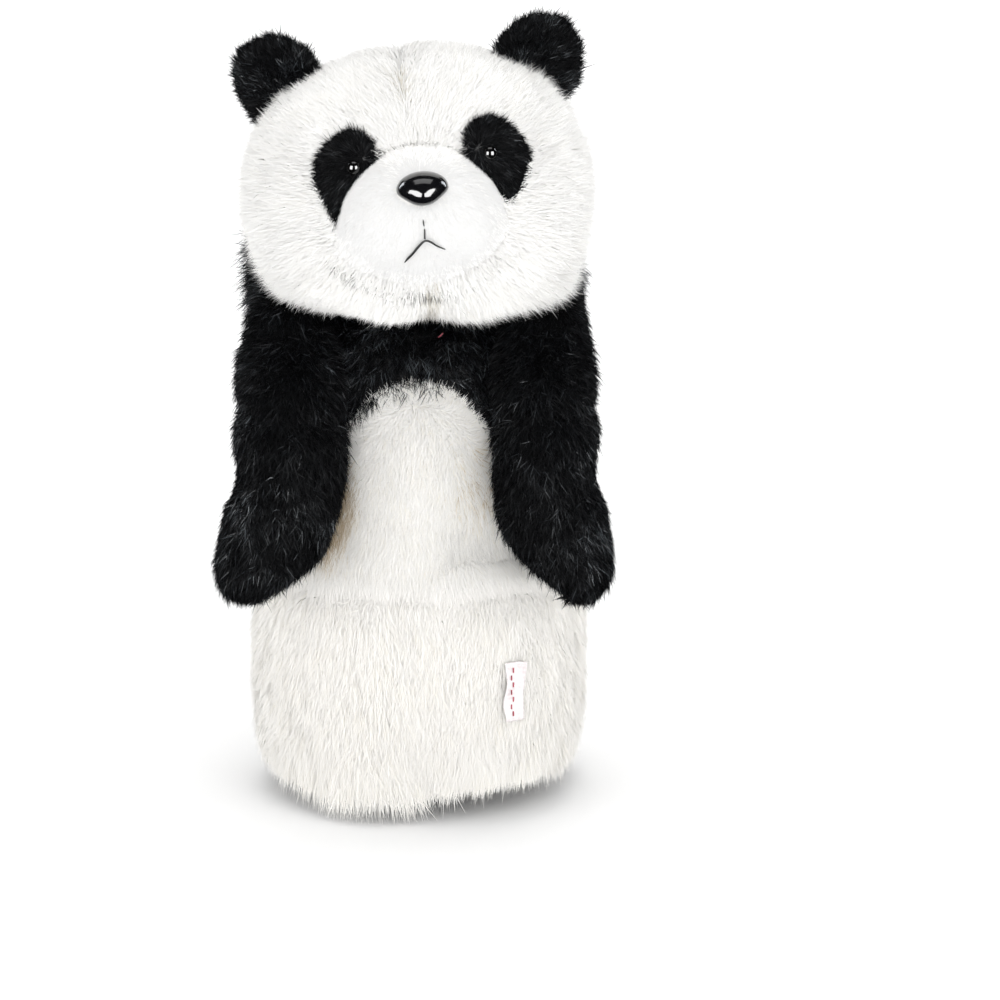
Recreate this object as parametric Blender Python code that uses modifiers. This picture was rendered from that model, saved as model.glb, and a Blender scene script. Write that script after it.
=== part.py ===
"""Plush panda head cover for a golf driver, as separate sewn and filled pieces.

Axes: +Z up along the club's shaft, the face towards -Y, the mouth opening at Z = 0.
Everything is in metres. Each soft piece is a simple closed solid of its own.
"""

import math

import bmesh
import bpy
from mathutils import Matrix, Vector

# ---------------------------------------------------------------- driving dimensions
GAP = 0.0003                 # between neighbouring pieces
PLUSH = 0.0030               # pile fabric with its backing
LINING = 0.0011              # smooth inner cloth
SQUARE = 2.2                 # how full the oval sections are (2 is an ellipse)

HEM_TOP = 0.0060             # folded hem band
WAIST_LOW, WAIST_TOP = 0.0843, 0.0917
BACK_SPLIT = 0.150           # black above, white below, on the back
CROWN_Z = 0.2285             # where the top panel of the shoulders starts

# Outer skin of the shoulders: height, half width, front, back.
TORSO = [
    (0.0920, 0.0700, -0.0660, 0.0660),
    (0.1050, 0.0735, -0.0672, 0.0672),
    (0.1250, 0.0748, -0.0675, 0.0675),
    (0.1550, 0.0750, -0.0670, 0.0672),
    (0.1780, 0.0750, -0.0620, 0.0670),
    (0.1960, 0.0742, -0.0490, 0.0660),
    (0.2090, 0.0725, -0.0320, 0.0640),
    (0.2190, 0.0715, -0.0140, 0.0620),
    (0.2280, 0.0690, 0.0060, 0.0590),
    (0.2360, 0.0620, 0.0180, 0.0540),
    (0.2415, 0.0480, 0.0260, 0.0470),
    (0.2440, 0.0290, 0.0310, 0.0410),
    (0.2447, 0.0000, 0.0360, 0.0360),
]
SKIRT = [
    (0.0063, 0.0675, -0.0640, 0.0640),
    (0.0300, 0.0690, -0.0655, 0.0655),
    (0.0600, 0.0705, -0.0670, 0.0670),
    (0.0840, 0.0702, -0.0665, 0.0665),
]
POUCH = [
    (0.0920, 0.0660, -0.0619, 0.0619),
    (0.1050, 0.0691, -0.0627, 0.0629),
    (0.1250, 0.0707, -0.0634, 0.0634),
    (0.1550, 0.0708, -0.0627, 0.0631),
    (0.1690, 0.0697, -0.0600, 0.0625),
    (0.1800, 0.0640, -0.0530, 0.0580),
    (0.1870, 0.0480, -0.0390, 0.0440),
    (0.1900, 0.0250, -0.0200, 0.0240),
    (0.1906, 0.0000, 0.0020, 0.0020),
]
POUCH_TOP = 0.1690

ARCH_Z, ARCH_MID = 0.186, 0.150      # white bib: top of the arch, where it is upright
ARCH_HALF, BIB_FOOT = 0.034, 0.058   # half width there and at the waist

HEAD_CENTRE = Vector((0.0, -0.0432, 0.2768))
HEAD_A, HEAD_B, HEAD_C, HEAD_P = 0.070, 0.053, 0.056, 2.25
HEAD_ROLL, HEAD_PITCH, HEAD_YAW = (math.radians(d) for d in (-5.5, -9, 3))
GUSSET_HALF = math.radians(22)       # half width of the middle strip of the head
MUZZLE_Z, MUZZLE_A, MUZZLE_C, MUZZLE_H = -0.017, 0.0365, 0.033, 0.0185
MUZZLE_SKIN = 0.0022
EYE_X, EYE_Z, EYE_R = 0.0291, 0.0103, 0.0050
PATCH_X, PATCH_Z, PATCH_A, PATCH_C = 0.0335, 0.0075, 0.0115, 0.0178
PATCH_TILT = math.radians(25)
NOSE_Z, NOSE_A, NOSE_C, NOSE_H = -0.0015, 0.0110, 0.0072, 0.0075
EAR_X, EAR_Z, EAR_A, EAR_C = 0.0575, 0.0480, 0.0175, 0.0185
STEM_R, WASHER_R = 0.0017, 0.0060

NECK_BASE = Vector((0.0, -0.0140, 0.2190))
NECK_AXIS = Vector((0.0, -0.447, 0.894)).normalized()
NECK_R, NECK_HALF = 0.0140, 0.0022
NECK_PIVOT = NECK_BASE + NECK_AXIS * 0.0036

# Arm: height, outward, front-back, half width, half thickness.
ARM = [
    (0.2250, 0.0575, -0.0345, 0.0000, 0.0000),
    (0.2222, 0.0575, -0.0350, 0.0095, 0.0080),
    (0.2120, 0.0573, -0.0385, 0.0165, 0.0125),
    (0.1930, 0.0570, -0.0570, 0.0203, 0.0155),
    (0.1700, 0.0575, -0.0690, 0.0212, 0.0165),
    (0.1500, 0.0585, -0.0735, 0.0218, 0.0168),
    (0.1300, 0.0610, -0.0755, 0.0232, 0.0178),
    (0.1120, 0.0640, -0.0760, 0.0240, 0.0182),
    (0.0985, 0.0670, -0.0765, 0.0180, 0.0135),
    (0.0935, 0.0680, -0.0765, 0.0000, 0.0000),
]
SHOULDER = (0.0575, -0.0360, 0.2115)

LABEL_X, LABEL_Z, LABEL_W, LABEL_H = 0.043, 0.047, 0.0100, 0.0280

COLOURS = {
    "white_plush": (0.86, 0.84, 0.79, 0.95),
    "black_plush": (0.010, 0.010, 0.012, 0.90),
    "lining_cloth": (0.045, 0.045, 0.050, 0.80),
    "filling": (0.80, 0.80, 0.78, 1.00),
    "black_plastic": (0.006, 0.006, 0.007, 0.12),
    "washer_plastic": (0.70, 0.70, 0.68, 0.40),
    "elastic": (0.55, 0.54, 0.52, 0.80),
    "black_thread": (0.010, 0.010, 0.010, 0.70),
    "red_thread": (0.25, 0.010, 0.030, 0.70),
    "label_cloth": (0.82, 0.78, 0.78, 0.80),
}

# ---------------------------------------------------------------- scene and helpers
for old in list(bpy.data.objects):
    bpy.data.objects.remove(old)
PARTS = bpy.data.collections.new("panda_driver_head_cover")
CUTTERS = bpy.data.collections.new("cutters")
for made in (PARTS, CUTTERS):
    bpy.context.scene.collection.children.link(made)


def material(key):
    found = bpy.data.materials.get(key)
    if found:
        return found
    found = bpy.data.materials.new(key)
    found.use_nodes = True
    shader = found.node_tree.nodes["Principled BSDF"]
    red, green, blue, rough = COLOURS[key]
    shader.inputs["Base Color"].default_value = (red, green, blue, 1)
    shader.inputs["Roughness"].default_value = rough
    found.diffuse_color = (red, green, blue, 1)
    return found


def add(name, mesh, slot, axis=None):
    """Puts a mesh in the assembly; axis is the empty on the joint that carries it."""
    mesh.materials.append(material(slot))
    piece = bpy.data.objects.new(name, mesh)
    PARTS.objects.link(piece)
    if axis is not None:
        piece.parent = axis
        piece.matrix_parent_inverse = Matrix.Translation(-axis.location)
    return piece


def joint_axis(name, at):
    empty = bpy.data.objects.new(name, None)
    empty.empty_display_size = 0.02
    empty.location = at
    PARTS.objects.link(empty)
    return empty


def finish_mesh(name, points, faces, inside):
    """A mesh with doubled points welded and its faces turned away from inside."""
    work = bmesh.new()
    corners = [work.verts.new(p) for p in points]
    for face in faces:
        work.faces.new([corners[i] for i in face])
    bmesh.ops.remove_doubles(work, verts=work.verts, dist=2e-6)
    bmesh.ops.recalc_face_normals(work, faces=work.faces)
    work.normal_update()
    outward = sum(f.normal.dot(f.calc_center_median() - inside) * f.calc_area() for f in work.faces)
    if outward < 0:
        bmesh.ops.reverse_faces(work, faces=work.faces)
    mesh = bpy.data.meshes.new(name)
    work.to_mesh(mesh)
    work.free()
    for face in mesh.polygons:
        face.use_smooth = True
    return mesh


def spread(low, high, count):
    return [low + (high - low) * i / count for i in range(count + 1)]


def edged(values, share=0.06):
    """The same values with one more close to each end, so that a cut edge stays square."""
    first, last = values[1] - values[0], values[-2] - values[-1]
    return [values[0], values[0] + first * share, *values[1:-1], values[-1] + last * share, values[-1]]


def patch(name, surface, us, vs, inside, thick, slot, axis=None, wrap=False, square=True):
    """An open patch of a surface, thickened inwards into one closed solid."""
    us, vs = us if wrap else edged(us), edged(vs) if square else vs
    points = [surface(u, v) for v in vs for u in us]
    wide = len(us)
    faces = []
    for j in range(len(vs) - 1):
        for i in range(wide if wrap else wide - 1):
            k = (i + 1) % wide
            faces.append((j * wide + i, j * wide + k, (j + 1) * wide + k, (j + 1) * wide + i))
    piece = add(name, finish_mesh(name, points, faces, inside), slot, axis)
    wall = piece.modifiers.new("wall", "SOLIDIFY")
    wall.thickness, wall.offset, wall.use_rim = thick, -1, True
    return piece


def shell(name, outer, inner, us, vs, shift, slot, axis=None):
    """A closed wall between two surfaces over one grid, moved by shift."""
    wide, high = len(us), len(vs)
    points = [Vector(side(u, v)) + shift for side in (outer, inner) for v in vs for u in us]
    back = wide * high
    faces = []
    for j in range(high - 1):
        for i in range(wide - 1):
            a, b = j * wide + i, (j + 1) * wide + i
            faces += [(a, a + 1, b + 1, b), (back + a, back + b, back + b + 1, back + a + 1)]
    ring = [i for i in range(wide)] + [j * wide + wide - 1 for j in range(1, high)]
    ring += [(high - 1) * wide + i for i in range(wide - 2, -1, -1)]
    ring += [j * wide for j in range(high - 2, 0, -1)]
    for a, b in zip(ring, ring[1:] + ring[:1]):
        faces.append((b, a, back + a, back + b))
    work = bmesh.new()
    corners = [work.verts.new(p) for p in points]
    for face in faces:
        work.faces.new([corners[i] for i in face])
    bmesh.ops.remove_doubles(work, verts=work.verts, dist=2e-5)
    bmesh.ops.recalc_face_normals(work, faces=work.faces)
    if work.calc_volume(signed=True) < 0:
        bmesh.ops.reverse_faces(work, faces=work.faces)
    mesh = bpy.data.meshes.new(name)
    work.to_mesh(mesh)
    work.free()
    for face in mesh.polygons:
        face.use_smooth = True
    return add(name, mesh, slot, axis)


def skinned(name, surface, rows, count, slot, axis=None):
    """A closed solid lofted through full rings; the first and last rows are points."""
    points = [surface(360 * i / count, row) for row in rows for i in range(count)]
    faces = []
    for j in range(len(rows) - 1):
        for i in range(count):
            k = (i + 1) % count
            faces.append((j * count + i, j * count + k, (j + 1) * count + k, (j + 1) * count + i))
    middle = sum((Vector(p) for p in points), Vector()) / len(points)
    mesh = finish_mesh(name, points, faces, middle)
    caps = bmesh.new()
    caps.from_mesh(mesh)
    open_edges = [e for e in caps.edges if e.is_boundary]
    if open_edges:
        bmesh.ops.holes_fill(caps, edges=open_edges, sides=0)
        bmesh.ops.recalc_face_normals(caps, faces=caps.faces)
    caps.to_mesh(mesh)
    caps.free()
    return add(name, mesh, slot, axis)


def lens(name, front, back, half_u, half_v, rings, count, slot, axis=None):
    """A closed solid between two surfaces over one oval outline."""
    points, faces = [], []
    for side in (front, back):
        points.append(side(0.0, 0.0))
        for ring in range(1, rings + 1):
            for i in range(count):
                turn, r = 2 * math.pi * i / count, ring / rings
                points.append(side(half_u * r * math.cos(turn), half_v * r * math.sin(turn)))
    stride = 1 + rings * count
    for base in (0, stride):
        for i in range(count):
            k = (i + 1) % count
            faces.append((base, base + 1 + i, base + 1 + k))
            for ring in range(rings - 1):
                a, b = base + 1 + ring * count, base + 1 + (ring + 1) * count
                faces.append((a + i, b + i, b + k, a + k))
    for i in range(count):
        k, a = (i + 1) % count, 1 + (rings - 1) * count
        faces.append((a + i, a + k, stride + a + k, stride + a + i))
    middle = (Vector(points[0]) + Vector(points[stride])) / 2
    return add(name, finish_mesh(name, points, faces, middle), slot, axis)


def thread(name, points, radius, slot, axis=None):
    """A sewn thread as a round tube with closed ends."""
    curve = bpy.data.curves.new(name, "CURVE")
    curve.dimensions = "3D"
    curve.bevel_depth, curve.bevel_resolution, curve.use_fill_caps = radius, 1, True
    line = curve.splines.new("POLY")
    line.points.add(len(points) - 1)
    for knot, at in zip(line.points, points):
        knot.co = (*at, 1)
    curve.materials.append(material(slot))
    piece = bpy.data.objects.new(name, curve)
    PARTS.objects.link(piece)
    if axis is not None:
        piece.parent = axis
        piece.matrix_parent_inverse = Matrix.Translation(-axis.location)
    return piece


def cylinder_mesh(name, start, end, radius, sides=12):
    """A closed cylinder between two points."""
    along = end - start
    turn = along.to_track_quat("Z", "Y").to_matrix().to_4x4()
    work = bmesh.new()
    bmesh.ops.create_cone(
        work, cap_ends=True, segments=sides, radius1=radius, radius2=radius, depth=along.length
    )
    work.transform(Matrix.Translation((start + end) / 2) @ turn)
    mesh = bpy.data.meshes.new(name)
    work.to_mesh(mesh)
    work.free()
    return mesh


def drill(pieces, name, start, end, radius):
    """Cuts one round hole or pocket through each of the pieces."""
    cutter = bpy.data.objects.new(name, cylinder_mesh(name, start, end, radius))
    CUTTERS.objects.link(cutter)
    cutter.hide_render, cutter.display_type = True, "WIRE"
    for piece in pieces:
        cut = piece.modifiers.new(name, "BOOLEAN")
        cut.operation, cut.solver, cut.object = "DIFFERENCE", "EXACT", cutter


def slope_at(rows, k, column):
    """The slope of a column at row k, limited so that the curve doesn't overshoot."""
    steps = [
        (rows[j + 1][column] - rows[j][column]) / (rows[j + 1][0] - rows[j][0])
        for j in (k - 1, k) if 0 <= j < len(rows) - 1
    ]
    if len(steps) == 1:
        return steps[0]
    below, above = steps
    return 0.0 if below * above <= 0 else 2 * below * above / (below + above)


def row_at(rows, z):
    """The values of a section table at height z, by a smooth curve through its rows."""
    rows = sorted(rows)
    z = min(max(z, rows[0][0]), rows[-1][0])
    i = max(k for k in range(len(rows) - 1) if rows[k][0] <= z + 1e-9)
    step = rows[i + 1][0] - rows[i][0]
    t = (z - rows[i][0]) / step
    values = []
    for column in range(1, len(rows[0])):
        low, high = rows[i][column], rows[i + 1][column]
        start, end = slope_at(rows, i, column) * step, slope_at(rows, i + 1, column) * step
        values.append((2 * t**3 - 3 * t**2 + 1) * low + (t**3 - 2 * t**2 + t) * start
                      + (3 * t**2 - 2 * t**3) * high + (t**3 - t**2) * end)
    return values


def oval(rows, degrees, z, inset=0.0, square=SQUARE):
    """A point of a lofted skin: 0 degrees is +X, 90 is the back, 270 is the front."""
    half, front, back = row_at(rows, z)
    half, deep, mid = max(half - inset, 0), max((back - front) / 2 - inset, 0), (front + back) / 2
    c, s = math.cos(math.radians(degrees)), math.sin(math.radians(degrees))
    x = half * math.copysign(abs(c) ** (2 / square), c)
    y = mid + deep * math.copysign(abs(s) ** (2 / square), s)
    return Vector((x, y, z))


SEAM = 0.30     # degrees kept clear each side of a side seam


def bib_angle(z):
    """Half the angle, about the front, that the white bib takes at height z."""
    if z >= ARCH_Z:
        return 0.0
    if z > ARCH_MID:
        half = ARCH_HALF * math.sqrt(1 - ((z - ARCH_MID) / (ARCH_Z - ARCH_MID)) ** 2)
    else:
        half = ARCH_HALF + (BIB_FOOT - ARCH_HALF) * ((ARCH_MID - z) / (ARCH_MID - 0.092)) ** 1.3
    wide = row_at(TORSO, z)[0]
    return math.degrees(math.asin(min(half / wide, 1) ** (SQUARE / 2)))


# ---------------------------------------------------------------- sleeve and shoulders
BODY_MID = Vector((0, 0, 0.13))
SKIRT_MID = Vector((0, 0, 0.045))


def skirt_skin(angle, z):
    return oval(SKIRT, angle, z)


def torso_skin(angle, z):
    return oval(TORSO, angle, z)


skirt_rows = spread(0.0063, 0.0840, 3)
patch("skirt_front", skirt_skin, spread(180 + SEAM, 360 - SEAM, 16), skirt_rows, SKIRT_MID,
      PLUSH, "white_plush")
patch("skirt_back", skirt_skin, spread(SEAM, 180 - SEAM, 16), skirt_rows, SKIRT_MID,
      PLUSH, "white_plush")
patch("skirt_lining", lambda a, z: oval(SKIRT, a, z, PLUSH + 2.5 * GAP), spread(0, 342, 19),
      spread(0.0070, 0.0835, 2), SKIRT_MID, LINING, "lining_cloth", wrap=True)
patch("hem_band", lambda a, z: oval([(0, 0.0675, -0.0640, 0.0640), (1, 0.0675, -0.0640, 0.0640)], a, z),
      spread(0, 348, 29), [0.0, HEM_TOP], SKIRT_MID, 0.0036, "white_plush", wrap=True)
patch("waist_elastic",
      lambda a, z: oval([(0, 0.0690, -0.0650, 0.0650), (1, 0.0690, -0.0650, 0.0650)], a, z),
      spread(0, 348, 29), [WAIST_LOW, WAIST_TOP], BODY_MID, 0.0036, "elastic", wrap=True)

arch_rows = [0.0920, 0.1080, 0.1290, 0.1500, 0.1600, 0.1700, 0.1780, 0.1830, 0.1843, 0.1852]
patch("belly_bib", lambda u, z: torso_skin(270 + u * (bib_angle(z) - 0.15), z), spread(-1, 1, 8),
      arch_rows, BODY_MID, PLUSH, "white_plush", square=False)

yoke_rows = arch_rows + [0.1860, 0.1960, 0.2090, 0.2190, CROWN_Z - 5 * GAP]


def yoke_half(side):
    """Front shoulder panel of one side, from the bib's edge or the middle seam to the side seam."""
    def skin(u, z):
        inner, outer = bib_angle(z) + 0.20, 90 - SEAM
        return torso_skin(270 + side * (inner + (outer - inner) * u), z)
    return skin


patch("yoke_front_left", yoke_half(-1), spread(0, 1, 5), yoke_rows, BODY_MID, PLUSH, "black_plush")
patch("yoke_front_right", yoke_half(1), spread(0, 1, 5), yoke_rows, BODY_MID, PLUSH, "black_plush")
patch("back_lower", torso_skin, spread(SEAM, 180 - SEAM, 12),
      [0.0920, 0.1080, 0.1290, BACK_SPLIT - GAP], BODY_MID, PLUSH, "white_plush")
patch("yoke_back", torso_skin, spread(SEAM, 180 - SEAM, 12),
      [BACK_SPLIT, 0.1780, 0.1960, 0.2090, 0.2190, CROWN_Z - 5 * GAP], BODY_MID, PLUSH, "black_plush")
patch("yoke_crown", torso_skin, spread(0, 342, 19), [CROWN_Z, 0.2360, 0.2415, 0.2440, 0.2447],
      BODY_MID, PLUSH, "black_plush", wrap=True)

pouch_rows = [0.0925, 0.1250, 0.1550, POUCH_TOP - 2 * GAP]
patch("pouch_lining_front", lambda a, z: oval(POUCH, a, z), spread(180 + SEAM, 360 - SEAM, 12),
      pouch_rows, BODY_MID, LINING, "lining_cloth")
patch("pouch_lining_back", lambda a, z: oval(POUCH, a, z), spread(SEAM, 180 - SEAM, 12),
      pouch_rows, BODY_MID, LINING, "lining_cloth")
patch("pouch_lining_crown", lambda a, z: oval(POUCH, a, z), spread(0, 342, 19),
      [POUCH_TOP + GAP, 0.1800, 0.1870, 0.1900, 0.1906], BODY_MID, LINING, "lining_cloth", wrap=True)

PAD = [(z - 0.0045, half - 0.0048, front + 0.0035, back - 0.0048) for z, half, front, back in TORSO[5:-1]]
skinned("crown_filling", lambda a, z: oval(PAD, a, z), [row[0] for row in PAD], 20, "filling")

# ---------------------------------------------------------------- neck and head
turn_axis = joint_axis("neck_turn_axis", NECK_PIVOT)
nod_axis = joint_axis("neck_nod_axis", NECK_PIVOT)
nod_axis.parent = turn_axis
nod_axis.matrix_parent_inverse = Matrix.Translation(-turn_axis.location)
neck_frame = Matrix.Translation(NECK_PIVOT) @ NECK_AXIS.to_track_quat("Z", "X").to_matrix().to_4x4()


def neck_side(sign):
    def face(u, v):
        r = min(math.hypot(u, v) / NECK_R, 1)
        return neck_frame @ Vector((u, v, sign * (NECK_HALF + 0.0010 * (1 - r * r))))
    return face


lens("neck_filling", neck_side(1), neck_side(-1), NECK_R, NECK_R, 2, 20, "filling", turn_axis)

HEAD = (
    Matrix.Translation(HEAD_CENTRE)
    @ Matrix.Rotation(HEAD_YAW, 4, "Z")
    @ Matrix.Rotation(HEAD_ROLL, 4, "Y")
    @ Matrix.Rotation(HEAD_PITCH, 4, "X")
)


def head_normal(p):
    grow = [
        math.copysign((abs(c) / half) ** (HEAD_P - 1) / half, c)
        for c, half in zip(p, (HEAD_A, HEAD_B, HEAD_C))
    ]
    return Vector(grow).normalized()


def head_polar(theta, phi, inset=0.0):
    """theta from the +X pole; phi about X, 0 at the front and 90 at the top (degrees)."""
    theta, phi = math.radians(theta), math.radians(phi)
    d = Vector((math.cos(theta), -math.sin(theta) * math.cos(phi), math.sin(theta) * math.sin(phi)))
    size = sum((abs(c) / half) ** HEAD_P for c, half in zip(d, (HEAD_A, HEAD_B, HEAD_C)))
    p = d * size ** (-1 / HEAD_P)
    return HEAD @ (p - head_normal(p) * inset)


def head_front(x, z, out=0.0, along_y=0.0):
    """The point of the head's front at x, z in the head's own frame, moved outwards."""
    rest = 1 - (abs(x) / HEAD_A) ** HEAD_P - (abs(z) / HEAD_C) ** HEAD_P
    p = Vector((x, -HEAD_B * max(rest, 0.0) ** (1 / HEAD_P), z))
    return p + head_normal(p) * out + Vector((0, -along_y, 0))


edge = 90 - math.degrees(GUSSET_HALF)
inside_head = HEAD @ Vector((0, 0, 0))
cheeks = {}
for side, pole in (("right", 0), ("left", 180)):
    thetas = [pole + (1 if pole == 0 else -1) * t for t in (0.02, 20, 38, 54, edge - 0.2)]
    cheeks[side] = patch("cheek_" + side, lambda phi, theta: head_polar(theta, phi), spread(0, 340, 17),
                         thetas, inside_head, PLUSH, "white_plush", nod_axis, wrap=True)
strip_us = spread(edge + 0.2, 180 - edge - 0.2, 4)
for name, low, high, count in (
    ("forehead", 12, 152, 9), ("nape", 152, 262, 7), ("chin", 262, 372, 7)
):
    patch(name, lambda theta, phi: head_polar(theta, phi), strip_us,
          spread(low + 0.2, high - 0.2, count), inside_head, PLUSH, "white_plush", nod_axis)
core_rows = [0.05, 22, 44, 66, 90, 114, 136, 158, 179.95]
head_core = skinned("head_filling", lambda phi, theta: head_polar(theta, phi, PLUSH + 0.0008),
                    core_rows, 18, "filling", nod_axis)


def muzzle_height(u, v):
    r = min((u / MUZZLE_A) ** 2 + (v / MUZZLE_C) ** 2, 1)
    return MUZZLE_H * (1 - r) ** 0.65


def muzzle_face(u, v, lift=0.0):
    return head_front(u, MUZZLE_Z + v, 0.0004) + Vector((0, -(0.0030 + lift + muzzle_height(u, v)), 0))


def muzzle_skin(turn, r):
    u, v = MUZZLE_A * r * math.cos(math.radians(turn)), MUZZLE_C * r * math.sin(math.radians(turn))
    return HEAD @ muzzle_face(u, v)


muzzle = patch("muzzle", muzzle_skin, spread(0, 342, 19), [0.0, 0.35, 0.65, 0.85, 1.0],
               HEAD @ Vector((0, -0.03, MUZZLE_Z)), MUZZLE_SKIN, "white_plush", nod_axis, wrap=True)


def muzzle_fill_front(u, v):
    r = min((u / (MUZZLE_A * 0.86)) ** 2 + (v / (MUZZLE_C * 0.86)) ** 2, 1)
    high = 0.0012 + (MUZZLE_H - 0.0012) * (1 - r) ** 0.65
    return HEAD @ (head_front(u, MUZZLE_Z + v, 0.0004) + Vector((0, -high, 0)))


muzzle_core = lens("muzzle_filling", muzzle_fill_front,
                   lambda u, v: HEAD @ head_front(u, MUZZLE_Z + v, 0.0006),
                   MUZZLE_A * 0.86, MUZZLE_C * 0.86, 3, 18, "filling", nod_axis)

# Nose: a moulded dome with a stem through the muzzle, held by a washer inside.
nose_root = muzzle_face(0.0, NOSE_Z - MUZZLE_Z)


def nose_front(u, v):
    r = min((u / NOSE_A) ** 2 + (v / NOSE_C) ** 2, 1)
    base = muzzle_face(u, NOSE_Z - MUZZLE_Z + v, GAP)
    return HEAD @ (base + Vector((0, -(0.0008 + NOSE_H * (1 - r) ** 0.55), 0)))


nose = lens("nose", nose_front, lambda u, v: HEAD @ muzzle_face(u, NOSE_Z - MUZZLE_Z + v, GAP),
            NOSE_A, NOSE_C, 4, 20, "black_plastic", nod_axis)


def stem(piece, name, start, end, axis):
    """Joins a round stem to a moulded piece, as one solid."""
    rod = bpy.data.objects.new(name, cylinder_mesh(name, start, end, STEM_R, 8))
    CUTTERS.objects.link(rod)
    rod.hide_render, rod.display_type = True, "WIRE"
    join = piece.modifiers.new(name, "BOOLEAN")
    join.operation, join.solver, join.object = "UNION", "EXACT", rod


def washer(name, at, inward, thick, axis):
    """A plain washer round a stem."""
    start, end = at - inward * (thick / 2), at + inward * (thick / 2)
    mesh = cylinder_mesh(name, start, end, WASHER_R, 16)
    piece = add(name, mesh, "washer_plastic", axis)
    drill([piece], name + "_bore", at - inward * thick, at + inward * thick, STEM_R + GAP)
    return piece


into = (HEAD.to_3x3() @ Vector((0, 1, 0))).normalized()
root = HEAD @ nose_root
stem(nose, "nose_stem", root - into * 0.003, root + into * 0.0085, nod_axis)
drill([muzzle], "nose_hole", root - into * 0.004, root + into * 0.006, STEM_R + GAP)
drill([muzzle_core], "nose_pocket", root - into * 0.004, root + into * 0.0106, WASHER_R + 2 * GAP)
washer("nose_washer", root + into * 0.0068, into, 0.0016, nod_axis)

# Eyes: the same, through the eye patch and the cheek. The patches stop at the muzzle's edge.
foot = [(MUZZLE_A * 1.02 * math.cos(math.radians(d)), MUZZLE_C * 1.02 * math.sin(math.radians(d)))
        for d in spread(0, 350, 35)]
work = bmesh.new()
caps = [[work.verts.new(HEAD @ Vector((u, y, MUZZLE_Z + v))) for u, v in foot] for y in (-0.025, -0.080)]
for ends in caps:
    work.faces.new(ends)
for k in range(len(foot)):
    m = (k + 1) % len(foot)
    work.faces.new((caps[0][k], caps[0][m], caps[1][m], caps[1][k]))
bmesh.ops.recalc_face_normals(work, faces=work.faces)
if work.calc_volume(signed=True) < 0:
    bmesh.ops.reverse_faces(work, faces=work.faces)
foot_mesh = bpy.data.meshes.new("muzzle_foot")
work.to_mesh(foot_mesh)
work.free()
muzzle_foot = bpy.data.objects.new("muzzle_foot", foot_mesh)
CUTTERS.objects.link(muzzle_foot)
muzzle_foot.hide_render, muzzle_foot.display_type = True, "WIRE"

for side, name in ((-1, "left"), (1, "right")):
    tilt = side * PATCH_TILT

    def on_patch(u, v, lift, side=side, tilt=tilt):
        x = side * PATCH_X + u * math.cos(tilt) + v * math.sin(tilt) * -1
        z = PATCH_Z + u * math.sin(tilt) * 1 + v * math.cos(tilt)
        return HEAD @ head_front(x, z, lift)

    eye_patch = lens("eye_patch_" + name, lambda u, v, f=on_patch: f(u, v, 0.0019),
                     lambda u, v, f=on_patch: f(u, v, 0.0004), PATCH_A, PATCH_C, 3, 16,
                     "black_plush", nod_axis)
    cut = eye_patch.modifiers.new("muzzle_foot", "BOOLEAN")
    cut.operation, cut.solver, cut.object = "DIFFERENCE", "EXACT", muzzle_foot
    seat = head_front(side * EYE_X, EYE_Z, 0.0027)
    facing = head_normal(head_front(side * EYE_X, EYE_Z))
    frame = HEAD @ Matrix.Translation(seat) @ facing.to_track_quat("Z", "X").to_matrix().to_4x4()

    def eye_dome(u, v, frame=frame):
        r = min(math.hypot(u, v) / EYE_R, 1)
        return frame @ Vector((u, v, 0.0006 + 0.0034 * math.sqrt(max(1 - r * r, 0))))

    eye = lens("eye_" + name, eye_dome, lambda u, v, f=frame: f @ Vector((u, v, 0)), EYE_R, EYE_R,
               3, 14, "black_plastic", nod_axis)
    at, back = frame @ Vector((0, 0, 0)), (frame.to_3x3() @ Vector((0, 0, -1))).normalized()
    stem(eye, "eye_stem_" + name, at - back * 0.001, at + back * 0.0115, nod_axis)
    drill([eye_patch, cheeks[name]], "eye_hole_" + name, at - back * 0.002, at + back * 0.0075,
          STEM_R + GAP)
    drill([head_core], "eye_pocket_" + name, at - back * 0.002, at + back * 0.0125,
          WASHER_R + 2 * GAP)
    washer("eye_washer_" + name, at + back * 0.0092, back, 0.0016, nod_axis)

# Ears: a flatter front panel and a rounder back panel on each side.
for side, name in ((-1, "left"), (1, "right")):
    lean = math.atan2(EAR_X, EAR_Z) * side
    ear = (
        HEAD
        @ Matrix.Translation((side * EAR_X, -0.004, EAR_Z))
        @ Matrix.Rotation(lean * 0.75, 4, "Y")
        @ Matrix.Rotation(math.radians(14) * side, 4, "Z")
    )

    def ear_side(sign, deep, ear=ear):
        def face(u, v):
            r = min((u / EAR_A) ** 2 + (v / EAR_C) ** 2, 1)
            return ear @ Vector((u, sign * (GAP / 2 + 0.0006 + deep * (1 - r) ** 0.6), v))
        return face

    def ear_flat(sign, ear=ear):
        return lambda u, v: ear @ Vector((u, sign * GAP / 2, v))

    ball = bpy.data.objects.get("head_trim")
    if ball is None:
        ball = skinned("head_trim", lambda phi, theta: head_polar(theta, phi, -0.0009),
                       [0.05, *spread(10, 170, 16), 179.95], 36, "filling")
        PARTS.objects.unlink(ball)
        CUTTERS.objects.link(ball)
        ball.hide_render, ball.display_type = True, "WIRE"
    for part, sign, deep in (("front", -1, 0.0030), ("back", 1, 0.0070)):
        half = lens(f"ear_{name}_{part}", ear_side(sign, deep), ear_flat(sign), EAR_A, EAR_C, 3, 18,
                    "black_plush", nod_axis)
        cut = half.modifiers.new("head_trim", "BOOLEAN")
        cut.operation, cut.solver, cut.object = "DIFFERENCE", "EXACT", ball


def on_muzzle(points, lift):
    return [HEAD @ muzzle_face(x, z - MUZZLE_Z, lift) for x, z in points]


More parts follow.
